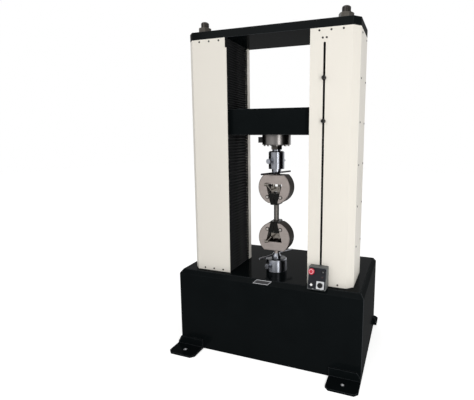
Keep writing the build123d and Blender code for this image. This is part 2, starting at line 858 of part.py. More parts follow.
def estop_button():
    """Mushroom emergency stop on its shaft."""
    low = collar_height + estop_travel + seam
    head = panel_drum(estop_radius, estop_x, estop_up, low, low + estop_height)
    outer = panel_plane(estop_x, estop_up, low + estop_height).position
    rim = head.edges().filter_by(GeomType.CIRCLE).sort_by_distance(outer)[0]
    head = chamfer(rim, estop_edge)
    return head + panel_drum(estop_shaft_radius, estop_x, estop_up, estop_travel + seam - button_depth, low)


def push_button(radius, x, up):
    """Plain push button in its collar."""
    return panel_drum(radius, x, up, button_travel + seam - button_depth, button_height)


def cam_switch_plate():
    """Square plate behind the cam switch knob."""
    plate = Box(switch_width, switch_height, switch_plate)
    plate = fillet(plate.edges().filter_by(Axis.Z), box_corner)
    plate = panel_plane(switch_x, switch_up, seam + switch_plate / 2) * plate
    return plate - panel_drum(knob_shaft_radius + running, switch_x, switch_up, -overrun, overrun)


def cam_switch_knob():
    """Rotary knob with a raised grip across it."""
    low = 2 * seam + switch_plate
    high = low + knob_height
    knob = panel_drum(knob_radius, switch_x, switch_up, low, high)
    knob += panel_plane(switch_x, switch_up, high + knob_grip_height / 2) * Box(
        knob_grip_width, 2 * knob_radius - knob_grip_width, knob_grip_height
    )
    return knob + panel_drum(knob_shaft_radius, switch_x, switch_up, -knob_shaft_depth, low)


def power_inlet():
    """Round mains inlet with its pins, on the rear panel."""
    face = Plane(origin=(inlet_edge_gap - base_width / 2, base_depth / 2, inlet_z), z_dir=(0, 1, 0))
    body = Box(inlet_flange, inlet_flange, inlet_flange_thickness, align=from_base)
    body += Cylinder(inlet_radius, inlet_length, align=from_base)
    hollow = inlet_length - inlet_flange_thickness
    cavity = Cylinder(inlet_radius - inlet_wall, hollow, align=from_base)
    body -= Pos(0, 0, inlet_flange_thickness) * cavity
    for index in range(inlet_pin_count):
        turn = Rot(0, 0, index * 360 / inlet_pin_count)
        pin = Cylinder(inlet_pin_radius, hollow - inlet_wall, align=from_base)
        body += turn * Pos(inlet_pin_circle, 0, inlet_flange_thickness) * pin
    return face * body


def base_supports():
    """Upright plates under the two ends of the worktop."""
    outer = base_width / 2 - support_inset
    half = base_depth / 2 - support_end_gap
    plate = block(outer - support_wall, outer, -half, half, 0, worktop_bottom)
    return plate, flip(plate)


def write_base():
    front_panel, side_panel, rear_panel = cabinet_panels()
    save("base_front_panel", front_panel)
    save("base_right_panel", side_panel)
    save("base_left_panel", flip(side_panel))
    save("base_rear_panel", rear_panel - vents())
    save("worktop_plate", worktop())
    save("base_supports", *base_supports())
    left = foot_length / 2 - foot_offset - base_width / 2
    right = base_width / 2 - foot_length / 2
    save("foot_front_left", foot(left, 0))
    save("foot_rear_right", foot(left, 180))
    save("foot_front_right", plain_foot(right, 0))
    save("foot_rear_left", plain_foot(right, 180))
    save("power_inlet", power_inlet())


def plain_foot(x_middle, turn):
    """Anchor bracket that lies flush with the side of the base."""
    return Rot(0, 0, turn) * flip(foot(-x_middle, 0))


def write_frame():
    save("guide_columns", *[guide_column(x, y) for x, y in column_places()])
    fastening = column_nut()
    save("column_nuts", *[Pos(x, y, 0) * piece for x, y in column_places() for piece in fastening])
    save("top_plate", top_plate())
    front, rear = covers()
    save("right_front_cover", front - limit_slot())
    save("left_front_cover", flip(front) - notch())
    save("right_rear_cover", rear)
    save("left_rear_cover", flip(rear))
    low = bellows(base_height + seam, crosshead_bottom - seam, lower_pleat_pitch)
    high = bellows(crosshead_top + seam, plate_bottom - seam, upper_pleat_pitch)
    save("lower_bellows", low, flip(low))
    save("upper_bellows", high, flip(high))
    housings = [bearing(x, seat, way) for x in (-screw_x, screw_x) for seat, way in ((worktop_bottom, -1), (plate_bottom, -1))]
    save("screw_bearings", *housings)


def write_drive():
    for name, x in (("left", -screw_x), ("right", screw_x)):
        wheel = turned(pulley_section(pulley_radius, journal_radius + running), x, load_y)
        save(name + "_ball_screw", ball_screw(x), wheel)
    save("motor_pulley", motor_pulley())
    save("timing_belt", timing_belt())
    save("gear_reducer", gear_reducer())
    save("servo_motor", servo_motor())


def write_crosshead():
    save("crosshead", crosshead())
    save("guide_bushes", *[guide_bush(x, y) for x, y in column_places()])
    save("ball_nuts", ball_nut(-screw_x), ball_nut(screw_x))
    save("load_cell", load_cell())
    save("cell_connector", cell_connector())
    save("adapter_nut", adapter_nut())
    save("upper_adapter", upper_adapter())
    save("limit_sensor", limit_sensor())


def write_grips():
    body, right_jaw, plunger = grip_body(), jaw(), pusher()
    upper_pin, lower_pin = adapter_bottom + pin_from_adapter, lower_adapter_top - lower_pin_drop
    for name, place, pin in (("upper", place_upper, upper_pin), ("lower", place_lower, lower_pin)):
        save(name + "_grip_body", place(body) - pin_tool(pin, pin_radius + running, -cell_radius, cell_radius))
        save(name + "_right_jaw", place(right_jaw))
        save(name + "_left_jaw", place(flip(right_jaw)))
        save(name + "_jaw_pusher", place(plunger))
    save("upper_lock_ring", lock_ring(adapter_bottom - seam, 1, upper_tommy_angle))
    save("lower_lock_ring", lock_ring(lower_adapter_top + seam, -1, lower_tommy_angle))
    save("upper_cross_pin", cross_pin(upper_pin, adapter_radius))
    save("lower_cross_pin", cross_pin(lower_pin, lower_adapter_radius))
    save("lower_adapter", lower_adapter())
    save("test_bar", test_bar())


def write_controls():
    save("limit_rod", drum(limit_rod_radius, base_height, plate_bottom - seam, slot_x, rod_y))
    save("upper_stop_dog", stop_dog(dog_upper_z))
    save("lower_stop_dog", stop_dog(dog_lower_z))
    save("control_box", control_box())
    save("estop_button", estop_button())
    save("white_button", push_button(white_radius, white_x, white_up))
    save("black_button", push_button(black_radius, black_x, black_up))
    save("cam_switch_plate", cam_switch_plate())
    save("cam_switch_knob", cam_switch_knob())


write_base()
write_frame()
write_drive()
write_crosshead()
write_grips()
write_controls()
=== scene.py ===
import math

import bmesh
import bpy
from bpy.props import FloatProperty, FloatVectorProperty, IntProperty, PointerProperty
from mathutils import Matrix, Vector


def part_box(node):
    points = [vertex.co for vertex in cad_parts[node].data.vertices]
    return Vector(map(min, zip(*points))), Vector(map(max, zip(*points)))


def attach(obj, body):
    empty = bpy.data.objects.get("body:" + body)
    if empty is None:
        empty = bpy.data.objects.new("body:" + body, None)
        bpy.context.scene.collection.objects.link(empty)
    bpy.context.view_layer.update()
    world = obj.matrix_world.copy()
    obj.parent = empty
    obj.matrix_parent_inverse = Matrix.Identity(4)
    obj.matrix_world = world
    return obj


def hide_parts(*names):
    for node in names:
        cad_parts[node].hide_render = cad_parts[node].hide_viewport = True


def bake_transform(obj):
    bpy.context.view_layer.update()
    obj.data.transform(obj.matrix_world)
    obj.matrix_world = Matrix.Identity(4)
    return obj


bl_info = {
    "name": "Universal testing machine",
    "version": (1, 0, 0),
    "blender": (4, 5, 0),
    "location": "View3D > Sidebar > Testing machine",
    "description": "Dresses the packed testing machine with finishes, pleated screens and small fasteners",
    "category": "Object",
}

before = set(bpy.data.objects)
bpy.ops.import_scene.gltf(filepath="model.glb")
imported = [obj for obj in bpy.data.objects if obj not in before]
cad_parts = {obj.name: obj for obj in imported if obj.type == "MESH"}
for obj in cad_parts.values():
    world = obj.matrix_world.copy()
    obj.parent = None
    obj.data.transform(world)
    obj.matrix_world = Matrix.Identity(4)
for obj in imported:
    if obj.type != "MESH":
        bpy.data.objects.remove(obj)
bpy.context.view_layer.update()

MM = 0.001
UP = (0, 0, 1)
WHITE = (1, 1, 1, 1)
# Loading axis, seen from above: the screws, the load cell and both grips stand on it.
AXIS_Y = -0.129
# Middles of the pieces on the control box's face, in millimetres across it and up it.
STOP_BUTTON, BLACK_BUTTON = (-34.5, 38), (34.5, 40)
WHITE_BUTTON, PANEL_LAMP = (-30.5, -38), (31, 9.5)
# Size of the photograph in pixels.
PHOTO_WIDTH, PHOTO_HEIGHT = 474, 400


def linear(code):
    """sRGB hex colour as linear RGBA."""
    values = [int(code[i:i + 2], 16) / 255 for i in (1, 3, 5)]
    return tuple(v / 12.92 if v <= 0.04045 else ((v + 0.055) / 1.055) ** 2.4 for v in values) + (1.0,)


def colour(name, code, description):
    """Colour setting with its default given as a hex code."""
    return FloatVectorProperty(
        name=name, subtype="COLOR", size=4, min=0, max=1, default=linear(code), description=description,
    )


def length(name, value, description):
    """Length setting whose default is given in millimetres."""
    return FloatProperty(name=name, unit="LENGTH", default=value * MM, min=0, precision=5, description=description)


class FinishSettings(bpy.types.PropertyGroup):
    black_coat: colour("Black coat", "#0A0D0E", "Black powder coat of the base, the plates and the crosshead")
    cream_coat: colour("Cream coat", "#E9E4DA", "Cream powder coat of the column covers")
    screen_cloth: colour("Screen cloth", "#0B0B0C", "Coated cloth of the pleated screens")
    grip_face: colour("Grip face", "#A69D98", "Blasted steel of the grip faces")
    grip_rim: colour("Grip rim", "#342C25", "Blued steel round the rim of the grips")
    steel: colour("Steel", "#B0B3BB", "Turned and ground steel")
    stop_red: colour("Stop red", "#C4203A", "Emergency stop button")
    box_grey: colour("Box grey", "#5F6262", "Painted case of the control box")


class ScreenSettings(bpy.types.PropertyGroup):
    depth: length("Pleat depth", 16, "How far one pleat reaches from fold to fold")
    cloth: length("Cloth thickness", 1.2, "Thickness of the coated cloth")
    lower_pleats: IntProperty(name="Lower pleats", default=45, min=4, description="Pleats under the crosshead")
    upper_pleats: IntProperty(name="Upper pleats", default=28, min=4, description="Pleats over the crosshead")


class FastenerSettings(bpy.types.PropertyGroup):
    cover_head: length("Cover screw head", 5.4, "Radius of the cover screws' heads")
    cell_head: length("Cell screw head", 6.5, "Radius of the load cell screws' heads")
    grip_head: length("Grip screw head", 9, "Radius of the grip screws' heads")
    thread_pitch: length("Stud thread pitch", 5, "Pitch of the thread on the column studs")


class StageSettings(bpy.types.PropertyGroup):
    key: FloatProperty(
        name="Key light", default=30, min=0, unit="POWER", description="Power of the light from the front left",
    )
    side: FloatProperty(
        name="Side light", default=52, min=0, unit="POWER", description="Power of the tall light on the right",
    )
    world: FloatProperty(
        name="World light", default=0.46, min=0, description="Strength of the even light from all round",
    )


# ---- nodes and materials ----


def add(tree, kind, values=None, **settings):
    """Add a node, set its properties, and set or link its inputs; a node given as a value lends its first output."""
    node = tree.nodes.new(kind)
    for name, value in settings.items():
        setattr(node, name, value)
    for name, value in (values or {}).items():
        if isinstance(value, bpy.types.Node):
            value = next(socket for socket in value.outputs if socket.enabled)
        if isinstance(value, bpy.types.NodeSocket):
            tree.links.new(value, node.inputs[name])
        else:
            node.inputs[name].default_value = value
    return node


def new_material(name):
    """Empty node material: returns it with its tree and its object coordinates."""
    material = bpy.data.materials.new(name)
    material.use_nodes = True
    tree = material.node_tree
    tree.nodes.clear()
    return material, tree, add(tree, "ShaderNodeTexCoord").outputs["Object"]


def finish_material(tree, tint, rough, relief, **sockets):
    """Principled surface: rough is (pattern, low, high) and relief is (pattern, depth in metres, strength)."""
    pattern, low, high = rough
    height, depth, strength = relief
    dents = add(tree, "ShaderNodeBump", {"Height": height, "Distance": depth, "Strength": strength})
    values = {
        "Base Color": tint, "Normal": dents,
        "Roughness": add(tree, "ShaderNodeMapRange", {"Value": pattern, "To Min": low, "To Max": high}),
    }
    if "Coat_Weight" in sockets:
        values["Coat Normal"] = dents
    values.update((key.replace("_", " "), value) for key, value in sockets.items())
    shader = add(tree, "ShaderNodeBsdfPrincipled", values)
    add(tree, "ShaderNodeOutputMaterial", {"Surface": shader})


def grain(tree, place, size, detail=3.0, stretch=(1, 1, 1)):
    """Noise whose features are about size metres across."""
    turned = add(tree, "ShaderNodeMapping", {"Vector": place, "Scale": stretch})
    return add(tree, "ShaderNodeTexNoise", {"Vector": turned, "Scale": 1 / size, "Detail": detail})


def wave_scale(period):
    """Scale at which the wave texture repeats every period metres."""
    return math.pi / 10 / period


def layered(tree, base, *layers):
    """Colours laid over a base one after another: each is (mask, share, tint)."""
    for mask, share, tint in layers:
        amount = add(tree, "ShaderNodeMath", {0: mask, 1: share}, operation="MULTIPLY")
        base = add(tree, "ShaderNodeMix", {0: amount, 6: base, 7: tint}, data_type="RGBA").outputs[2]
    return base


def edge_mask(tree, radius, low=0.03, high=0.3):
    """1 where the surface lies within radius of a sharp edge, 0 on flat ground."""
    rounded = add(tree, "ShaderNodeBevel", {"Radius": radius}, samples=6)
    flat = add(tree, "ShaderNodeNewGeometry").outputs["Normal"]
    match = add(tree, "ShaderNodeVectorMath", {0: rounded, 1: flat}, operation="DOT_PRODUCT").outputs["Value"]
    bent = add(tree, "ShaderNodeMath", {0: 1.0, 1: match}, operation="SUBTRACT")
    return add(tree, "ShaderNodeMapRange", {"Value": bent, "From Min": low, "From Max": high})


def facing_mask(tree, axis, low, high):
    """1 on faces that look up or down one axis, 0 on those square to them; low and high bound the turn between."""
    normal = add(tree, "ShaderNodeTexCoord").outputs["Normal"]
    along = add(tree, "ShaderNodeSeparateXYZ", {"Vector": normal}).outputs[axis]
    size = add(tree, "ShaderNodeMath", {0: along}, operation="ABSOLUTE")
    return add(tree, "ShaderNodeMapRange", {"Value": size, "From Min": low, "From Max": high})


def tone(base, factor):
    """Colour made lighter or darker by a factor."""
    return tuple(min(1.0, v * factor) for v in base[:3]) + (1.0,)


def black_powder_coat(name, base, gloss):
    """Polyester powder coat over sheet steel: the dip of its orange peel breaks up the soft reflections."""
    material, tree, place = new_material(name)
    # A thin film of dust greys the coat in patches about a hand wide.
    dust = grain(tree, place, 0.16, 4)
    # Orange peel is 2 mm across on the real sheet; 5 mm keeps it in view from the camera.
    peel = grain(tree, place, 0.005, 2)
    # The edges are painted lighter grey: a painted highlight along every edge of the coat.
    edge = edge_mask(tree, 0.004, 0.02, 0.25)
    tint = layered(tree, base, (dust, 1.0, tone(base, 1.7)), (edge, 0.75, linear("#4A4D50")))
    # The gloss lies in the thin clear skin; the filled body under it stays matt, also where it is seen edge on.
    finish_material(
        tree, tint, (dust, 0.5, 0.62), (peel, 0.00012, 0.35), Specular_IOR_Level=0.0, Coat_Weight=gloss,
        Coat_Roughness=0.12,
    )
    return material


def cream_powder_coat(base):
    """Fine-texture polyester powder coat on folded sheet: satin, with an even speckle."""
    material, tree, place = new_material("cream_powder_coat")
    speckle = grain(tree, place, 0.003, 2)
    cloud = grain(tree, place, 0.35, 2)
    # The edges are painted paler than the coat: a painted highlight along every fold and corner.
    edge = edge_mask(tree, 0.003, 0.02, 0.3)
    tint = layered(
        tree, base, (cloud, 1.0, tone(base, 0.955)), (speckle, 0.5, tone(base, 0.9)), (edge, 0.35, linear("#FBF8F0")),
    )
    finish_material(tree, tint, (speckle, 0.4, 0.52), (speckle, 0.00015, 0.4), Specular_IOR_Level=0.42)
    return material


def coated_screen_cloth(base):
    """Polyurethane-coated polyester cloth: matt and woven, with its folds painted a little paler as a painted sheen."""
    material, tree, place = new_material("coated_screen_cloth")
    # Threads lie 0.8 mm apart on the real cloth; 2.5 mm is as fine as the render can hold.
    threads = {"Vector": place, "Scale": wave_scale(0.0025)}
    warp = add(tree, "ShaderNodeTexWave", threads, bands_direction="Y").outputs["Fac"]
    weft = add(tree, "ShaderNodeTexWave", threads, bands_direction="Z").outputs["Fac"]
    weave = add(tree, "ShaderNodeMath", {0: warp, 1: weft}, operation="MULTIPLY")
    # The folds are painted paler: a painted sheen along the ridges of the pleats.
    fold = edge_mask(tree, 0.004, 0.01, 0.2)
    dust = grain(tree, place, 0.09, 3)
    tint = layered(tree, base, (dust, 0.6, tone(base, 1.7)), (fold, 0.5, linear("#2B2C2D")))
    finish_material(tree, tint, (dust, 0.55, 0.7), (weave, 0.0003, 0.4), Specular_IOR_Level=0.12)
    return material


def turned_steel(name, base, low, high, film=0.0, spread=0.0, dark_past=1.0):
    """Steel turned on a lathe: its fine rings spread reflections up and down; film paints its end faces darker, as
    painted shade.

    What reaches further from the loading axis than dark_past metres is painted near black, as painted shade on the
    tommy bars.
    """
    material, tree, place = new_material(name)
    # Tool marks are about 0.3 mm apart; 1.5 mm rings are the finest that show here.
    rings = grain(tree, place, 0.0015, 2, (0.02, 0.02, 1))
    cloud = grain(tree, place, 0.03, 3)
    # The edges are painted lighter: a painted highlight along every edge.
    edge = edge_mask(tree, 0.0012)
    # Faces that look up or down are painted darker by the film share: painted shade on the end faces.
    ends = facing_mask(tree, "Z", 0.8, 0.95)
    # Past the given reach from the loading axis the steel is painted near black: painted shade on the tommy bars.
    across = add(tree, "ShaderNodeMapping", {"Vector": place, "Location": (0, -AXIS_Y, 0), "Scale": (1, 1, 0)})
    reach = add(tree, "ShaderNodeVectorMath", {0: across}, operation="LENGTH").outputs["Value"]
    black = add(tree, "ShaderNodeMath", {0: reach, 1: dark_past}, operation="GREATER_THAN")
    tint = layered(
        tree, base, (cloud, 0.7, tone(base, 0.72)), (ends, film, tone(base, 0.05)), (edge, 0.7, tone(base, 1.5)),
        (black, 0.9, linear("#1E1B19")),
    )
    # A quarter turn sets the wide side of the spread upright, square to the rings.
    finish_material(
        tree, tint, (rings, low, high), (rings, 0.0001, 0.15), Metallic=1.0, Anisotropic=spread,
        Anisotropic_Rotation=0.25,
    )
    return material


def zinc_plate(name, base):
    """Zinc plating: a cool, slightly cloudy metal with dull patches."""
    material, tree, place = new_material(name)
    cloud = grain(tree, place, 0.012, 4)
    # The edges are painted lighter: a painted highlight along every edge.
    edge = edge_mask(tree, 0.0015)
    tint = layered(tree, base, (cloud, 1.0, tone(base, 0.6)), (edge, 0.6, tone(base, 1.5)))
    finish_material(tree, tint, (cloud, 0.24, 0.42), (cloud, 0.0002, 0.3), Metallic=1.0)
    return material


def grip_steel(face, rim):
    """Cast steel blasted on its faces and blued round its rim: grey-brown face, near-black rim."""
    material, tree, place = new_material("blasted_grip_steel")
    on_face = facing_mask(tree, "Y", 0.4, 0.65)
    # Blasting grit leaves dents about 1 mm wide; 4 mm mottling is what the eye sees of them from here.
    grit = grain(tree, place, 0.0022, 3)
    mottle = grain(tree, place, 0.004, 2)
    cloud = grain(tree, place, 0.045, 4)
    # The faces were ground before blasting, which leaves faint level streaks.
    streak = grain(tree, place, 0.004, 2, (0.06, 1, 1))
    # The edges, the chamfer round each face among them, are painted pale: a painted highlight.
    edge = edge_mask(tree, 0.0022)
    skin = layered(
        tree, face, (cloud, 1.0, tone(face, 0.7)), (mottle, 0.5, tone(face, 0.55)), (streak, 0.4, tone(face, 1.5)),
    )
    blued = layered(tree, rim, (cloud, 1.0, tone(rim, 0.4)))
    tint = layered(tree, blued, (on_face, 1.0, skin), (edge, 0.6, linear("#CFC9C4")))
    metal = add(tree, "ShaderNodeMath", {0: on_face, 1: 0.72}, operation="MULTIPLY")
    finish_material(tree, tint, (grit, 0.36, 0.52), (grit, 0.0002, 0.4), Metallic=metal, Specular_IOR_Level=0.03)
    return material


def black_oxide_steel():
    """Hardened steel with a black oxide skin, bright where the edges rub."""
    material, tree, place = new_material("black_oxide_steel")
    cloud = grain(tree, place, 0.008, 4)
    edge = edge_mask(tree, 0.0012)
    tint = layered(tree, linear("#0C0D0C"), (cloud, 1.0, linear("#171715")), (edge, 0.7, linear("#8C8A84")))
    finish_material(tree, tint, (cloud, 0.26, 0.42), (cloud, 0.0002, 0.3), Metallic=0.15, Specular_IOR_Level=0.12)
    return material


def moulded_plastic(name, base, low, high, level=0.5):
    """Moulded plastic: even colour, with a fine spark-eroded grain."""
    material, tree, place = new_material(name)
    skin = grain(tree, place, 0.0009, 2)
    cloud = grain(tree, place, 0.02, 2)
    tint = layered(tree, base, (cloud, 1.0, tone(base, 0.85)))
    finish_material(tree, tint, (skin, low, high), (skin, 0.00006, 0.35), Specular_IOR_Level=level)
    return material


def satin_paint(name, base):
    """Satin machine enamel over a casting or a sheet case: soft gloss, fine peel, lighter edges."""
    material, tree, place = new_material(name)
    peel = grain(tree, place, 0.003, 2)
    cloud = grain(tree, place, 0.05, 3)
    edge = edge_mask(tree, 0.0015)
    tint = layered(tree, base, (cloud, 1.0, tone(base, 0.75)), (edge, 0.4, tone(base, 2.2)))
    finish_material(tree, tint, (peel, 0.34, 0.5), (peel, 0.0002, 0.35), Specular_IOR_Level=0.3)
    return material


def brushed_aluminium(name, base):
    """Anodised aluminium brushed level: long fine streaks and a soft sheen."""
    material, tree, place = new_material(name)
    streak = grain(tree, place, 0.0012, 3, (0.03, 1, 1))
    tint = layered(tree, base, (streak, 1.0, tone(base, 0.7)))
    finish_material(tree, tint, (streak, 0.26, 0.42), (streak, 0.00008, 0.3), Metallic=1.0)
    return material


def toothed_belt_rubber():
    """Neoprene belt: dull black with a tooth across it every 8 mm."""
    material, tree, place = new_material("toothed_belt_rubber")
    teeth = add(tree, "ShaderNodeTexWave", {"Vector": place, "Scale": wave_scale(0.008)}, bands_direction="X")
    cloud = grain(tree, place, 0.02, 3)
    tint = layered(tree, linear("#141414"), (cloud, 1.0, linear("#262626")))
    finish_material(tree, tint, (cloud, 0.6, 0.8), (teeth.outputs["Fac"], 0.001, 0.5))
    return material


def threaded_screw_steel(base):
    """Ground ball screw: a rounded groove winds up it every 10 mm."""
    material, tree, place = new_material("ground_ball_screw_steel")
    wave = add(tree, "ShaderNodeTexWave", {"Vector": place, "Scale": wave_scale(0.01)}, bands_direction="Z")
    groove = wave.outputs["Fac"]
    cloud = grain(tree, place, 0.02, 3)
    # The thread's groove is painted darker than its crest: painted shade in the hollow.
    tint = layered(tree, tone(base, 0.45), (groove, 1.0, base))
    finish_material(tree, tint, (cloud, 0.16, 0.3), (groove, 0.002, 0.8), Metallic=1.0)
    return material


def dress(material, *names):
    """Give CAD nodes one material."""
    for name in names:
        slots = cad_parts[name].data.materials
        slots.clear()
        slots.append(material)


# ---- meshes ----


def new_object(name, mesh, material=None):
    """Object at the origin that holds a mesh."""
    piece = bpy.data.objects.new(name, mesh)
    bpy.context.scene.collection.objects.link(piece)
    if material is not None:
        mesh.materials.clear()
        mesh.materials.append(material)
    return piece


def mesh_from(name, form):
    """Mesh from a bmesh, with its doubles merged and its faces turned outwards."""
    bmesh.ops.remove_doubles(form, verts=form.verts, dist=1e-7)
    bmesh.ops.recalc_face_normals(form, faces=form.faces)
    mesh = bpy.data.meshes.new(name)
    form.to_mesh(mesh)
    form.free()
    return mesh


def evaluated_mesh(piece):
    """Plain mesh of an object with its modifiers applied."""
    graph = bpy.context.evaluated_depsgraph_get()
    return bpy.data.meshes.new_from_object(
        piece.evaluated_get(graph), preserve_all_data_layers=True, depsgraph=graph,
    )


def verts_of(items):
    """Vertices among the mixed items that a bmesh operator returns."""
    return [item for item in items if isinstance(item, bmesh.types.BMVert)]


def thicken(form, faces, move):
    """Draw faces out into a slab along a vector."""
    moved = bmesh.ops.extrude_face_region(form, geom=faces)["geom"]
    bmesh.ops.translate(form, vec=move, verts=verts_of(moved))


def lathe(profile, steps):
    """Turn a profile of radius and height about Z; radius 0 closes an end."""
    form = bmesh.new()
    rows = []
    for radius, height in profile:
        if radius == 0:
            rows.append([form.verts.new((0, 0, height))] * steps)
        else:
            turns = [2 * math.pi * i / steps for i in range(steps)]
            rows.append([form.verts.new((radius * math.cos(a), radius * math.sin(a), height)) for a in turns])
    for low, high in zip(rows, rows[1:]):
        for i in range(steps):
            j = (i + 1) % steps
            corners = list(dict.fromkeys((low[i], low[j], high[j], high[i])))
            if len(corners) > 2:
                form.faces.new(corners)
    return form


def smooth(mesh, degrees=35):
    """Shade smooth, with edges sharper than this kept crisp."""
    mesh.shade_smooth()
    form = bmesh.new()
    form.from_mesh(mesh)
    for edge in form.edges:
        if len(edge.link_faces) == 2 and edge.calc_face_angle(0) > math.radians(degrees):
            edge.smooth = False
    form.to_mesh(mesh)
    form.free()


def bearing_angle(vert):
    """Angle of a vertex about Z."""
    return math.atan2(vert.co.y, vert.co.x)


def socket_screw(name, radius, height, dome):
    """Screw head with a hexagon socket, standing on the XY plane; dome is the share of its height that is rounded."""
    socket = radius * 0.5
    profile = [(radius, 0), (radius, height * (1 - dome)), (radius * 0.86, height * 0.96), (radius * 0.72, height)]
    form = lathe(profile, 24)
    top = sorted((v for v in form.verts if abs(v.co.z - height) < 1e-9), key=bearing_angle)
    rim, floor = [], []
    for vert in top:
        angle = bearing_angle(vert)
        reach = socket * math.cos(math.pi / 6) / math.cos((angle % (math.pi / 3)) - math.pi / 6)
        rim.append(form.verts.new((reach * math.cos(angle), reach * math.sin(angle), height)))
        floor.append(form.verts.new((reach * math.cos(angle), reach * math.sin(angle), height * 0.4)))
    for i in range(len(top)):
        j = (i + 1) % len(top)
        form.faces.new((top[i], top[j], rim[j], rim[i]))
        form.faces.new((rim[i], rim[j], floor[j], floor[i]))
    form.faces.new(floor)
    low = sorted((v for v in form.verts if abs(v.co.z) < 1e-9), key=bearing_angle)
    form.faces.new(low[::-1])
    mesh = mesh_from(name, form)
    smooth(mesh)
    return mesh


def geometry_tree(name, **inputs):
    """Geometry Nodes tree with named inputs, each of the kind given: returns it with those inputs' sockets."""
    tree = bpy.data.node_groups.new(name, "GeometryNodeTree")
    for way in ("INPUT", "OUTPUT"):
        tree.interface.new_socket("Geometry", in_out=way, socket_type="NodeSocketGeometry")
    for label, kind in inputs.items():
        tree.interface.new_socket(label, in_out="INPUT", socket_type="NodeSocket" + kind)
    return tree, add(tree, "NodeGroupInput").outputs


def close_tree(tree, shape, finish):
    """End a tree with real geometry that has its material set."""
    real = add(tree, "GeometryNodeRealizeInstances", {"Geometry": shape})
    painted = add(tree, "GeometryNodeSetMaterial", {"Geometry": real, "Material": finish})
    add(tree, "NodeGroupOutput", {"Geometry": painted})
    return tree


def run_tree(name, tree, base_mesh, values):
    """Run a tree on a mesh and return the result as a plain object."""
    source = new_object(name + "_source", base_mesh)
    modifier = source.modifiers.new("build", "NODES")
    modifier.node_group = tree
    for item in tree.interface.items_tree:
        if item.in_out == "INPUT" and item.name in values:
            modifier[item.identifier] = values[item.name]
    bpy.context.view_layer.update()
    result = evaluated_mesh(source)
    source.modifiers.clear()
    bpy.data.objects.remove(source)
    result.name = name
    return new_object(name, result)


def point_mesh(name, places):
    """Loose points, each with the way that what stands on it faces."""
    mesh = bpy.data.meshes.new(name + "_points")
    mesh.from_pydata([place for place, _ in places], [], [])
    facings = mesh.attributes.new("facing", "FLOAT_VECTOR", "POINT")
    for item, (_, facing) in zip(facings.data, places):
        item.vector = facing
    return mesh


def fastener_tree():
    """Stands one fastener on every point, turned to face outwards and twisted at random."""
    tree, given = geometry_tree("stand_fasteners", Fastener="Object", Twist="Float", Finish="Material")
    head = add(tree, "GeometryNodeObjectInfo", {"Object": given["Fastener"]}).outputs["Geometry"]
    facing = add(tree, "GeometryNodeInputNamedAttribute", {"Name": "facing"}, data_type="FLOAT_VECTOR")
    upright = add(tree, "FunctionNodeAlignRotationToVector", {"Vector": facing}, axis="Z")
    chance = add(tree, "FunctionNodeRandomValue", {"Seed": 7}, data_type="FLOAT")
    twist = add(tree, "ShaderNodeMath", {0: chance, 1: given["Twist"]}, operation="MULTIPLY")
    spin = add(tree, "FunctionNodeAxisAngleToRotation", {"Axis": UP, "Angle": twist})
    turned = add(
        tree, "FunctionNodeRotateRotation", {"Rotation": upright, "Rotate By": spin}, rotation_space="LOCAL",
    )
    stand = add(tree, "GeometryNodeInstanceOnPoints", {
        "Points": given["Geometry"], "Instance": head, "Rotation": turned,
    })
    return close_tree(tree, stand, given["Finish"])


def stand_fasteners(name, head_mesh, places, material, body):
    """One piece that holds a fastener at every place, riding on a body."""
    pattern = new_object(name + "_pattern", head_mesh)
    # A hexagon looks the same after a sixth of a turn.
    piece = run_tree(name, fastener_tree(), point_mesh(name, places), {
        "Fastener": pattern, "Twist": math.pi / 3, "Finish": material,
    })
    bpy.data.objects.remove(pattern)
    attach(piece, body)
    return piece


def screen_tree():
    """Pleated cloth: folds alternate from side to side up a line, and the line is drawn out in depth."""
    tree, given = geometry_tree(
        "pleated_screen", Bottom="Float", Height="Float", Pleats="Int", Depth="Float", Near="Float", Front="Float",
        Width="Float", Finish="Material",
    )
    # Eight points to a pleat round the folds off as stiff cloth does.
    points = 8.0
    steps = add(tree, "ShaderNodeMath", {0: given["Pleats"], 1: points}, operation="MULTIPLY")
    count = add(tree, "ShaderNodeMath", {0: steps, 1: 1.0}, operation="ADD")
    rise = add(tree, "ShaderNodeMath", {0: given["Height"], 1: steps}, operation="DIVIDE")
    start = add(tree, "ShaderNodeCombineXYZ", {"X": given["Near"], "Y": given["Front"], "Z": given["Bottom"]})
    offset = add(tree, "ShaderNodeCombineXYZ", {"Z": rise})
    line = add(tree, "GeometryNodeMeshLine", {"Count": count, "Start Location": start, "Offset": offset})
    index = add(tree, "GeometryNodeInputIndex")
    phase = add(tree, "ShaderNodeMath", {0: index, 1: points}, operation="MODULO")
    centred = add(tree, "ShaderNodeMath", {0: phase, 1: points / 2}, operation="SUBTRACT")
    fold = add(tree, "ShaderNodeMath", {0: centred}, operation="ABSOLUTE")
    share = add(tree, "ShaderNodeMath", {0: fold, 1: points / 2}, operation="DIVIDE")
    # 0 at the folds towards the test bar and 1 at those towards the column; the easing rounds both.
    turned = add(tree, "ShaderNodeMath", {0: 1.0, 1: share}, operation="SUBTRACT")
    eased = add(tree, "ShaderNodeMapRange", {"Value": turned}, interpolation_type="SMOOTHSTEP")
    both = add(tree, "ShaderNodeMix", {0: 0.45, 2: turned, 3: eased})
    reach = add(tree, "ShaderNodeMath", {0: both, 1: given["Depth"]}, operation="MULTIPLY")
    push = add(tree, "ShaderNodeCombineXYZ", {"X": reach})
    folded = add(tree, "GeometryNodeSetPosition", {"Geometry": line, "Offset": push})
    draw = add(tree, "ShaderNodeCombineXYZ", {"Y": given["Width"]})
    sheet = add(tree, "GeometryNodeExtrudeMesh", {"Mesh": folded, "Offset": draw}, mode="EDGES")
    shaded = add(tree, "GeometryNodeSetShadeSmooth", {"Geometry": sheet, "Shade Smooth": True})
    return close_tree(tree, shaded, given["Finish"])


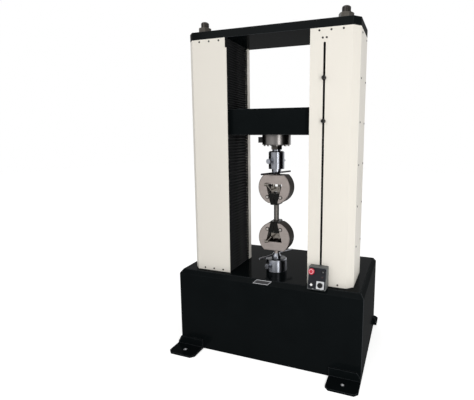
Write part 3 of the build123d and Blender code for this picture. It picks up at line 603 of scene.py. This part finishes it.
def pleated_screen(name, node, pleats, material):
    """Both screens of one node: the right one is made by the tree and the left one mirrors it."""
    settings = bpy.context.scene.utm_screens
    low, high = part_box(node)
    cloth, slack = settings.cloth, 0.0005
    right = run_tree(name, screen_tree(), bpy.data.meshes.new(name + "_empty"), {
        "Bottom": low[2] + cloth, "Height": high[2] - low[2] - 2 * cloth, "Pleats": pleats,
        "Depth": settings.depth, "Near": high[0] - settings.depth - cloth * 3, "Front": low[1] + slack,
        "Width": high[1] - low[1] - 2 * slack, "Finish": material,
    })
    thick = right.modifiers.new("cloth", "SOLIDIFY")
    thick.thickness = cloth
    thick.offset = 0
    mesh = evaluated_mesh(right)
    bpy.data.objects.remove(right)
    form = bmesh.new()
    form.from_mesh(mesh)
    copy = bmesh.ops.duplicate(form, geom=form.verts[:] + form.edges[:] + form.faces[:])["geom"]
    bmesh.ops.scale(form, vec=(-1, 1, 1), verts=verts_of(copy))
    bmesh.ops.reverse_faces(form, faces=[item for item in copy if isinstance(item, bmesh.types.BMFace)])
    form.to_mesh(mesh)
    form.free()
    return new_object(name, mesh, material)


def slab_mesh(name, corners, thickness, bevel):
    """Flat plate from its corners in order, thickened along its normal, with its edges eased."""
    form = bmesh.new()
    face = form.faces.new([form.verts.new(corner) for corner in corners])
    form.normal_update()
    normal = face.normal.copy()
    thicken(form, [face], normal * thickness)
    upright = [e for e in form.edges if abs((e.verts[0].co - e.verts[1].co).normalized().dot(normal)) > 0.99]
    bmesh.ops.bevel(form, geom=upright, offset=bevel * 3, segments=4, affect="EDGES")
    return mesh_from(name, form)


# ---- control box ----


def panel_frame():
    """Place of the control box's sloping face: its middle, the way across, up it and out of it."""
    low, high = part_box("control_box")
    top_depth, bottom_depth, height = 0.042, 0.080, 0.126
    lean = math.atan2(bottom_depth - top_depth, height)
    across = Vector((1, 0, 0))
    out = Vector((0, -math.cos(lean), math.sin(lean)))
    middle = Vector(((low[0] + high[0]) / 2, high[1] - (top_depth + bottom_depth) / 2, (low[2] + high[2]) / 2))
    return middle, across, out.cross(across), out


def on_panel(x, up, out=0.0):
    """Point over the control box's face, from millimetres across, up and out."""
    middle, across, upward, outward = panel_frame()
    return middle + (across * x + upward * up + outward * out) * MM


def set_on_panel(mesh, spot, out):
    """Move a mesh made round Z onto a spot of the control box's face."""
    turn = Matrix(panel_frame()[1:]).transposed().to_4x4()
    mesh.transform(Matrix.Translation(on_panel(*spot, out)) @ turn)


def turned_on_panel(name, profile, spot, out, material, steps=48):
    """Turned piece standing on the control box's face, from a profile in millimetres."""
    form = lathe([(radius * MM, height * MM) for radius, height in profile], steps)
    mesh = mesh_from(name, form)
    smooth(mesh)
    set_on_panel(mesh, spot, out)
    return new_object(name, mesh, material)


def button_top(node, spot):
    """How far a button's crown stands out of the panel's face at rest, in millimetres."""
    foot, outward = on_panel(*spot), panel_frame()[3]
    return max((vertex.co - foot).dot(outward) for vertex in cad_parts[node].data.vertices) / MM


# ---- operators ----


class Step:
    """What every operator of this add-on shares."""

    bl_options = {"REGISTER", "UNDO"}


class UTM_OT_cabinet(Step, bpy.types.Operator):
    """Finish the base cabinet, the plates, the brackets and the crosshead, and ring the anchor holes with bright steel
    """

    bl_idname = "utm.cabinet"
    bl_label = "Base cabinet"

    def execute(self, context):
        black = context.scene.utm_finishes.black_coat
        dress(
            black_powder_coat("satin_black_powder_coat", black, 0.035),
            "base_front_panel", "base_rear_panel", "base_left_panel", "base_right_panel", "base_supports",
            "foot_front_left", "foot_front_right", "foot_rear_left", "foot_rear_right", "crosshead",
        )
        dress(black_powder_coat("gloss_black_powder_coat", black, 0.11), "worktop_plate")
        dress(black_powder_coat("silk_black_powder_coat", black, 0.065), "top_plate")
        dress(moulded_plastic("black_nylon", linear("#141414"), 0.4, 0.6), "power_inlet", "cell_connector")
        # A bright steel ring lines each anchor hole and rims it, which shows bright on each bracket.
        bore, hole, rim, deep, proud = 0.0087, 0.00895, 0.0135, -0.0115, 0.0003
        ring = [(bore, deep), (hole, deep), (hole, 0), (rim, 0), (rim, proud), (bore, proud), (bore, deep)]
        mesh = mesh_from("anchor_hole_ring", lathe(ring, 40))
        flange_top = 0.012
        rows = ((-0.425, (-0.537, 0.515)), (0.425, (-0.515, 0.537)))
        places = [((x, y, flange_top), UP) for y, row in rows for x in row]
        stand_fasteners(
            "anchor_hole_rings", mesh, places, zinc_plate("bright_anchor_ring_steel", linear("#B9BABC")), "frame",
        )
        return {"FINISHED"}


class UTM_OT_columns(Step, bpy.types.Operator):
    """Finish the column covers, the guide columns with their nuts, and the limit rod"""

    bl_idname = "utm.columns"
    bl_label = "Columns"

    def execute(self, context):
        cream = cream_powder_coat(context.scene.utm_finishes.cream_coat)
        dress(cream, "left_front_cover", "right_front_cover", "left_rear_cover", "right_rear_cover")
        dress(turned_steel("hard_chromed_column_steel", linear("#4B4845"), 0.14, 0.26), "guide_columns")
        dress(black_oxide_steel(), "limit_rod")
        dress(zinc_plate("dulled_zinc_plate", linear("#4A4743")), "column_nuts", "adapter_nut")
        return {"FINISHED"}


class UTM_OT_drive(Step, bpy.types.Operator):
    """Finish the drive under the worktop and the screws in the columns"""

    bl_idname = "utm.drive"
    bl_label = "Drive"

    def execute(self, context):
        steel = context.scene.utm_finishes.steel
        dress(threaded_screw_steel(steel), "left_ball_screw", "right_ball_screw")
        dress(satin_paint("grey_casting_enamel", linear("#5A5D60")), "gear_reducer", "screw_bearings")
        dress(satin_paint("black_motor_enamel", linear("#1D1F22")), "servo_motor")
        dress(brushed_aluminium("turned_pulley_aluminium", linear("#B9BBBD")), "motor_pulley", "limit_sensor")
        dress(toothed_belt_rubber(), "timing_belt")
        dress(turned_steel("ground_bush_steel", steel, 0.2, 0.32), "guide_bushes", "ball_nuts")
        return {"FINISHED"}


class UTM_OT_load_train(Step, bpy.types.Operator):
    """Finish the load cell, the adapters, the pins, the rings and the test bar"""

    bl_idname = "utm.load_train"
    bl_label = "Load train"

    def execute(self, context):
        steel = context.scene.utm_finishes.steel
        ring = tone(steel, 0.7)
        dress(turned_steel("ground_load_cell_steel", linear("#74716F"), 0.3, 0.4, spread=0.6), "load_cell")
        # Both adapters are one steel; the upper one is painted darker than the lower: painted shade.
        dress(turned_steel("polished_adapter_steel", tone(steel, 0.55), 0.26, 0.36, spread=0.8), "upper_adapter")
        dress(turned_steel("end_shaded_adapter_steel", tone(steel, 0.9), 0.32, 0.42, film=0.9, spread=0.9), "lower_adapter")
        dress(zinc_plate("polished_pin_plate", tone(steel, 0.95)), "upper_cross_pin", "lower_cross_pin")
        dress(turned_steel("turned_ring_steel", ring, 0.26, 0.36, spread=0.6), "lower_lock_ring")
        # The upper ring is the lower ring's steel with its bars painted darker: painted shade.
        barred = turned_steel("shaded_barred_ring_steel", ring, 0.26, 0.36, spread=0.6, dark_past=0.044)
        dress(barred, "upper_lock_ring")
        dress(turned_steel("drawn_test_bar_steel", linear("#66635F"), 0.3, 0.45), "test_bar")
        return {"FINISHED"}


class UTM_OT_grips(Step, bpy.types.Operator):
    """Finish both wedge grips and stand their face screws"""

    bl_idname = "utm.grips"
    bl_label = "Wedge grips"

    def execute(self, context):
        colours, radius = context.scene.utm_finishes, context.scene.utm_fasteners.grip_head
        dress(grip_steel(colours.grip_face, colours.grip_rim), "upper_grip_body", "lower_grip_body")
        oxide, milled = black_oxide_steel(), turned_steel("milled_pusher_steel", linear("#7E7972"), 0.08, 0.2)
        steel = zinc_plate("bright_zinc_plate", linear("#C4BFBA"))
        dark = satin_paint("dark_washer_lacquer", linear("#2B2724"))
        # Middle of a body over its flat, and the screws' distance from that middle.
        flat, screw_x, screw_z, washer = 0.101, 0.045, 0.061, 0.0006
        for grip, body, way in (("upper", "crosshead", -1), ("lower", "frame", 1)):
            dress(oxide, grip + "_left_jaw", grip + "_right_jaw")
            dress(milled, grip + "_jaw_pusher")
            low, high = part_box(grip + "_grip_body")
            # The shank points away from the bar, so the flat at the bar's end tells where the middle is.
            middle = low[2] + flat if way < 0 else high[2] - flat
            faces = ((low[1], -1), (high[1], 1))
            places = [
                ((side * screw_x, face, middle + way * screw_z), (0, out, 0)) for side in (-1, 1) for face, out in faces
            ]
            profile = [(0, 0), (radius * 1.45, 0), (radius * 1.4, washer), (0, washer)]
            mesh = mesh_from(grip + "_grip_washer", lathe(profile, 32))
            stand_fasteners(grip + "_grip_washers", mesh, places, dark, body)
            mesh = socket_screw(grip + "_grip_screw", radius, 0.0045, 0.5)
            stand_fasteners(grip + "_grip_screws", mesh, places, steel, body)
        return {"FINISHED"}


class UTM_OT_screens(Step, bpy.types.Operator):
    """Make the pleated screens over and under the crosshead"""

    bl_idname = "utm.screens"
    bl_label = "Pleated screens"

    def execute(self, context):
        settings = context.scene.utm_screens
        cloth = coated_screen_cloth(context.scene.utm_finishes.screen_cloth)
        for part, pleats, fixed_end in (("lower", settings.lower_pleats, 0), ("upper", settings.upper_pleats, 1)):
            node = part + "_bellows"
            piece = pleated_screen(part + "_pleated_screen", node, pleats, cloth)
            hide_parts(node)
            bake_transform(piece)
        return {"FINISHED"}


class UTM_OT_cover_screws(Step, bpy.types.Operator):
    """Stand the screws that hold the column covers, and the two over the slot"""

    bl_idname = "utm.cover_screws"
    bl_label = "Cover screws"

    def execute(self, context):
        low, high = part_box("right_front_cover")
        front, foot, head = low[1], low[2] + 0.0142, high[2] - 0.0137
        side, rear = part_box("right_rear_cover")[1][:2]
        lowest, gap = 0.770, 0.243
        places = []
        for way in (-1, 1):
            for x in (0.313, 0.380, 0.447):
                for face, out in ((front, -1), (rear, 1)):
                    places.append(((way * x, face, head), (0, out, 0)))
                    # The control box covers the foot of the right cover as far as its outer third.
                    if way < 0 or x > 0.4 or out > 0:
                        places.append(((way * x, face, foot), (0, out, 0)))
            for y in (-0.210, -0.030):
                places += [((way * side, y, lowest + gap * row), (way, 0, 0)) for row in range(6)]
        places += [((x, front, 1.954), (0, -1, 0)) for x in (0.333, 0.355)]
        mesh = socket_screw("cover_screw", context.scene.utm_fasteners.cover_head, 0.0028, 0.6)
        piece = stand_fasteners("cover_screws", mesh, places, black_oxide_steel(), "frame")
        return {"FINISHED"}


class UTM_OT_cell_screws(Step, bpy.types.Operator):
    """Stand the ring of cap screws under the load cell"""

    bl_idname = "utm.cell_screws"
    bl_label = "Load cell screws"

    def execute(self, context):
        circle, underside = 0.077, 1.366
        angles = [math.radians(22.5 + 45 * index) for index in range(8)]
        places = [
            ((circle * math.cos(angle), AXIS_Y + circle * math.sin(angle), underside), (0, 0, -1)) for angle in angles
        ]
        mesh = socket_screw("cell_screw", context.scene.utm_fasteners.cell_head, 0.008, 0.15)
        plate = zinc_plate("bright_screw_plate", linear("#8C8A86"))
        stand_fasteners("load_cell_screws", mesh, places, plate, "crosshead")
        return {"FINISHED"}


class UTM_OT_stud_threads(Step, bpy.types.Operator):
    """Wind the thread round the four column studs above their nuts"""

    bl_idname = "utm.stud_threads"
    bl_label = "Stud threads"

    def execute(self, context):
        pitch = context.scene.utm_fasteners.thread_pitch
        low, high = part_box("column_nuts")[1][2] + 0.0002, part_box("guide_columns")[1][2] - 0.006
        tree, given = geometry_tree(
            "stud_thread", Radius="Float", Turns="Float", Height="Float", Ridge="Float", Finish="Material",
        )
        coil = add(tree, "GeometryNodeCurveSpiral", {
            "Resolution": 40, "Rotations": given["Turns"], "Start Radius": given["Radius"],
            "End Radius": given["Radius"], "Height": given["Height"],
        })
        ridge = add(tree, "GeometryNodeCurvePrimitiveCircle", {"Resolution": 4, "Radius": given["Ridge"]})
        swept = add(tree, "GeometryNodeCurveToMesh", {"Curve": coil, "Profile Curve": ridge, "Fill Caps": True})
        stand = add(tree, "GeometryNodeInstanceOnPoints", {"Points": given["Geometry"], "Instance": swept})
        close_tree(tree, stand, given["Finish"])
        places = [((x, AXIS_Y + y, low + pitch / 3), UP) for x in (-0.446, 0.446) for y in (-0.096, 0.096)]
        piece = run_tree("column_stud_threads", tree, point_mesh("stud", places), {
            "Radius": 0.0238, "Turns": (high - low) / pitch, "Height": high - low - pitch / 3,
            "Ridge": pitch * 0.3, "Finish": turned_steel("rolled_thread_steel", linear("#24221F"), 0.26, 0.4),
        })
        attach(piece, "frame")
        return {"FINISHED"}


class UTM_OT_name_plate(Step, bpy.types.Operator):
    """Lay the bare name plate on the base's sloping front lip"""

    bl_idname = "utm.name_plate"
    bl_label = "Bare name plate"

    def execute(self, context):
        edge, knee, rim, run = -0.355, 0.509, 0.535, 0.018
        out = Vector((0, knee - rim, run)).normalized()

        def on_slope(lift, *spots):
            """Points over the lip, from their places along it and their shares of the way up its slope."""
            return [
                Vector((x, edge + share * run - 0.0002, knee + share * (rim - knee) + 0.0001)) + out * lift
                for x, share in spots
            ]

        corners = on_slope(0, (-0.075, 0.1), (0.026, 0.1), (0.049, 0.9), (-0.053, 0.9))
        mesh = slab_mesh("name_plate", corners, 0.0008, 0.0006)
        plate = new_object("name_plate", mesh, brushed_aluminium("etched_plate_aluminium", linear("#8F9092")))
        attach(plate, "frame")
        # The field is the dark enamel that such plates carry inside their bright rim; it stays bare.
        corners = on_slope(0.0007, (-0.069, 0.2), (0.024, 0.2), (0.043, 0.8), (-0.051, 0.8))
        mesh = slab_mesh("name_plate_field", corners, 0.0003, 0.0004)
        field = new_object("name_plate_field", mesh, satin_paint("dark_plate_enamel", linear("#242326")))
        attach(field, "frame")
        return {"FINISHED"}


class UTM_OT_controls(Step, bpy.types.Operator):
    """Finish the control box, its buttons and switch, and the stops on the limit rod"""

    bl_idname = "utm.controls"
    bl_label = "Controls"

    def execute(self, context):
        colours = context.scene.utm_finishes
        dress(satin_paint("grey_case_paint", colours.box_grey), "control_box")
        dress(moulded_plastic("white_button_plastic", linear("#F2F2F0"), 0.18, 0.3), "white_button")
        black = moulded_plastic("black_button_plastic", linear("#111214"), 0.2, 0.35, 0.25)
        dress(black, "black_button", "cam_switch_knob")
        dress(brushed_aluminium("switch_plate_aluminium", linear("#D8DADC")), "cam_switch_plate")
        phenolic = moulded_plastic("black_knob_phenolic", linear("#0E0E0E"), 0.3, 0.45, 0.2)
        dress(phenolic, "upper_stop_dog", "lower_stop_dog")
        red = moulded_plastic("red_stop_plastic", colours.stop_red, 0.16, 0.28)
        # The pale ring on the crown is where such buttons carry their turn arrows, and its pink is partly a painted
        # highlight; it stays bare.
        pale = moulded_plastic("pale_ring_plastic", linear("#E9A9B0"), 0.25, 0.4)
        crown = [
            (0, 9.3), (12, 9.3), (17, 9.5), (19, 11.5), (19, 16), (17.2, 19), (14.6, 20.1), (13.8, 19.7), (10, 19.7),
            (9.2, 20.2), (0, 20.3),
        ]
        stem = [(0, -14.7), (8, -14.7), (8, 9.25), (0, 9.25)]
        ring = [(10.2, 19.75), (13.6, 19.75), (13.6, 20.0), (10.2, 20.0), (10.2, 19.75)]
        button = turned_on_panel("stop_button_crown", crown, STOP_BUTTON, 0, red)
        shaft = turned_on_panel("stop_button_stem", stem, STOP_BUTTON, 0, black_oxide_steel())
        mark = turned_on_panel("stop_button_ring", ring, STOP_BUTTON, 0, pale)
        for piece in (button, shaft, mark):
            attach(piece, "estop_button")
        # A pale disc in the small black button's middle is a painted highlight.
        highlight_disc = moulded_plastic("painted_highlight_plastic", linear("#7C7E81"), 0.2, 0.35)
        cap = [(0, 0), (3.4, 0), (3.4, 0.25), (2.9, 0.4), (0, 0.4)]
        top = button_top("black_button", BLACK_BUTTON)
        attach(turned_on_panel("black_button_insert", cap, BLACK_BUTTON, top, highlight_disc, 24), "black_button")
        # A black rim is moulded round the white button's cap and down its wall.
        rim = moulded_plastic("black_rim_plastic", linear("#111214"), 0.2, 0.35, 0.25)
        shell = [(9.5, -1.6), (9.6, -1.6), (9.6, 0.1), (9.3, 0.35), (7.6, 0.35), (7.5, 0), (9.5, 0), (9.5, -1.6)]
        top = button_top("white_button", WHITE_BUTTON)
        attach(turned_on_panel("white_button_rim", shell, WHITE_BUTTON, top, rim, 40), "white_button")
        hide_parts("estop_button")
        return {"FINISHED"}


class UTM_OT_panel_trim(Step, bpy.types.Operator):
    """Lay the face film, the lamp, the bezels and the bare label strips on the control box"""

    bl_idname = "utm.panel_trim"
    bl_label = "Panel trim"

    def execute(self, context):
        film = moulded_plastic("black_face_film", linear("#26272C"), 0.34, 0.5, 0.1)
        outline = [(-51, -61.5), (51, -61.5), (51, 61.5), (-51, 61.5)]
        form = bmesh.new()
        form.faces.new([form.verts.new((x * MM, y * MM, 0)) for x, y in outline])
        bmesh.ops.bevel(form, geom=form.verts[:], offset=0.004, segments=4, affect="VERTICES")
        thicken(form, form.faces[:], (0, 0, 0.0002))
        mesh = mesh_from("panel_face_film", form)
        set_on_panel(mesh, (0, 0), 0.05)
        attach(new_object("panel_face_film", mesh, film), "frame")
        lens = [(0, 0), (4.6, 0), (4.6, 1.2), (3.8, 1.4), (3.6, 2.2), (2.4, 2.9), (0, 3.1)]
        smoked = moulded_plastic("smoked_lamp_lens", linear("#3A2226"), 0.08, 0.16)
        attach(turned_on_panel("panel_lamp", lens, PANEL_LAMP, 0.2, smoked, 32), "frame")
        # Black bezels stand on the case's raised collars round both push buttons.
        bezel = moulded_plastic("black_bezel_plastic", linear("#0F1012"), 0.3, 0.45, 0.2)
        collar = 4.0
        for name, spot, radius in (
            ("white_button_bezel", WHITE_BUTTON, 9.5), ("black_button_bezel", BLACK_BUTTON, 7.5),
        ):
            bore = radius + 0.3
            ring = [(bore, 0), (radius + 3, 0), (radius + 3, 0.7), (radius + 2.2, 1.2), (bore, 1.2), (bore, 0)]
            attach(turned_on_panel(name, ring, spot, collar, bezel, 40), "frame")
        strip = moulded_plastic("bare_label_plastic", linear("#C6C7C8"), 0.3, 0.45)
        outline = [(-4.5, -1.2), (4.5, -1.2), (4.5, 1.2), (-4.5, 1.2)]
        for name, x in (("left_label_strip", -20.5), ("right_label_strip", 27.5)):
            corners = [on_panel(x + a, -60.3 + b, 0.25) for a, b in outline]
            piece = new_object(name, slab_mesh(name, corners, 0.0004, 0.0003), strip)
            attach(piece, "frame")
        return {"FINISHED"}


class UTM_OT_stage(Step, bpy.types.Operator):
    """Set the floor, the world, the lights and the camera"""

    bl_idname = "utm.stage"
    bl_label = "Stage"

    def execute(self, context):
        scene, settings = context.scene, context.scene.utm_stage
        scene.view_settings.view_transform = "Standard"
        material, tree, _ = new_material("white_studio_floor")
        rays = add(tree, "ShaderNodeLightPath").outputs
        mirrored = add(
            tree, "ShaderNodeMath", {0: rays["Is Glossy Ray"], 1: rays["Is Transmission Ray"]}, operation="MAXIMUM",
        )
        white = add(tree, "ShaderNodeEmission", {"Color": WHITE, "Strength": 1.0})
        paint = add(tree, "ShaderNodeBsdfDiffuse", {"Color": linear("#F6F6F5")})
        # Far from the lamps the paint shows its share of the world light, and the lift makes up the rest to white.
        # Inside the cabinet, where no light reaches the floor, there is no lift, so the vents look dark.
        shelter = add(tree, "ShaderNodeAmbientOcclusion", {"Distance": 0.8}, samples=16).outputs["AO"]
        share = add(tree, "ShaderNodeMapRange", {
            "Value": shelter, "From Min": 0.05, "From Max": 0.4, "To Max": 1.04 - 0.92 * settings.world,
        })
        lift = add(tree, "ShaderNodeEmission", {"Color": WHITE, "Strength": share})
        pale = add(tree, "ShaderNodeAddShader", {0: paint, 1: lift})
        # The camera sees the painted floor lifted to white, with its shadow kept.
        camera_view = add(tree, "ShaderNodeMixShader", {"Fac": rays["Is Camera Ray"], 1: paint, 2: pale})
        mirror_view = add(tree, "ShaderNodeMixShader", {"Fac": mirrored, 1: camera_view, 2: white})
        add(tree, "ShaderNodeOutputMaterial", {"Surface": mirror_view})
        form = bmesh.new()
        bmesh.ops.create_grid(form, x_segments=4, y_segments=4, size=14)
        mesh = bpy.data.meshes.new("studio_floor")
        form.to_mesh(mesh)
        form.free()
        # The floor lies half a millimetre under the feet, so that no two faces share a place.
        mesh.transform(Matrix.Translation((0, 0, -0.0005)))
        new_object("studio_floor", mesh, material)

        world = bpy.data.worlds.new("studio")
        scene.world = world
        world.use_nodes = True
        tree = world.node_tree
        tree.nodes.clear()
        rays = add(tree, "ShaderNodeLightPath").outputs
        seen = rays["Is Camera Ray"]
        for kind in ("Is Glossy Ray", "Is Transmission Ray"):
            seen = add(tree, "ShaderNodeMath", {0: seen, 1: rays[kind]}, operation="MAXIMUM")
        strength = add(tree, "ShaderNodeMapRange", {"Value": seen, "To Min": settings.world, "To Max": 1.0})
        glow = add(tree, "ShaderNodeBackground", {"Color": WHITE, "Strength": strength})
        add(tree, "ShaderNodeOutputWorld", {"Surface": glow})

        aim = Vector((0, 0, 1.1))
        for name, power, spot, width, height in (
            ("key_light", settings.key, (-1.1, -3.6, 2.9), 2.4, 2.0),
            ("side_light", settings.side, (2.2, -2.7, 1.36), 0.62, 2.7),
        ):
            lamp = bpy.data.lights.new(name, "AREA")
            lamp.energy, lamp.shape, lamp.size, lamp.size_y = power, "RECTANGLE", width, height
            holder = bpy.data.objects.new(name, lamp)
            holder.location = spot
            holder.rotation_euler = (aim - Vector(spot)).to_track_quat("-Z", "Y").to_euler()
            scene.collection.objects.link(holder)

        # The camera was fitted to the photograph's straight edges; focal, across and down are in its pixels.
        yaw, pitch, roll, focal, across, down = 0.341041, -0.139527, 0.003285, 361.8656, 283.2826, 189.9618
        ahead = Vector((-math.sin(yaw) * math.cos(pitch), math.cos(yaw) * math.cos(pitch), math.sin(pitch)))
        right = ahead.cross(Vector(UP)).normalized()
        up = right.cross(ahead)
        level_right = right * math.cos(roll) + up * math.sin(roll)
        level_up = up * math.cos(roll) - right * math.sin(roll)
        lens = bpy.data.cameras.new("photo_camera")
        lens.sensor_width, lens.sensor_fit = 36.0, "HORIZONTAL"
        lens.lens = focal / PHOTO_WIDTH * lens.sensor_width
        lens.shift_x = (PHOTO_WIDTH / 2 - across) / PHOTO_WIDTH
        lens.shift_y = (down - PHOTO_HEIGHT / 2) / PHOTO_WIDTH
        lens.clip_start, lens.clip_end = 0.05, 100
        camera = bpy.data.objects.new("photo_camera", lens)
        turn = Matrix((level_right, level_up, -ahead)).transposed().to_4x4()
        camera.matrix_world = Matrix.Translation((0.82599, -2.32409, 1.40294)) @ turn
        scene.collection.objects.link(camera)
        scene.camera = camera
        return {"FINISHED"}


STEPS = (
    UTM_OT_cabinet, UTM_OT_columns, UTM_OT_drive, UTM_OT_load_train, UTM_OT_grips, UTM_OT_screens, UTM_OT_cover_screws,
    UTM_OT_cell_screws, UTM_OT_stud_threads, UTM_OT_name_plate, UTM_OT_controls, UTM_OT_panel_trim, UTM_OT_stage,
)

GROUPS = (
    ("utm_finishes", FinishSettings), ("utm_screens", ScreenSettings), ("utm_fasteners", FastenerSettings),
    ("utm_stage", StageSettings),
)


class UTM_PT_machine(bpy.types.Panel):
    """Lists the steps that dress the machine, with their sizes and colours"""

    bl_idname = "UTM_PT_machine"
    bl_label = "Testing machine"
    bl_space_type = "VIEW_3D"
    bl_region_type = "UI"
    bl_category = "Testing machine"

    def draw(self, context):
        for step in STEPS:
            self.layout.operator(step.bl_idname)
        for group, _ in GROUPS:
            settings = getattr(context.scene, group)
            box = self.layout.box()
            for name in settings.bl_rna.properties.keys():
                if name not in ("rna_type", "name"):
                    box.prop(settings, name)


def register():
    for name, group in GROUPS:
        bpy.utils.register_class(group)
        setattr(bpy.types.Scene, name, PointerProperty(type=group))
    for step in STEPS:
        bpy.utils.register_class(step)
    bpy.utils.register_class(UTM_PT_machine)


def unregister():
    bpy.utils.unregister_class(UTM_PT_machine)
    for step in reversed(STEPS):
        bpy.utils.unregister_class(step)
    for name, group in reversed(GROUPS):
        delattr(bpy.types.Scene, name)
        bpy.utils.unregister_class(group)


def main():
    register()
    for step in STEPS:
        module, name = step.bl_idname.split(".")
        getattr(getattr(bpy.ops, module), name)()


if __name__ == "__main__":
    main()
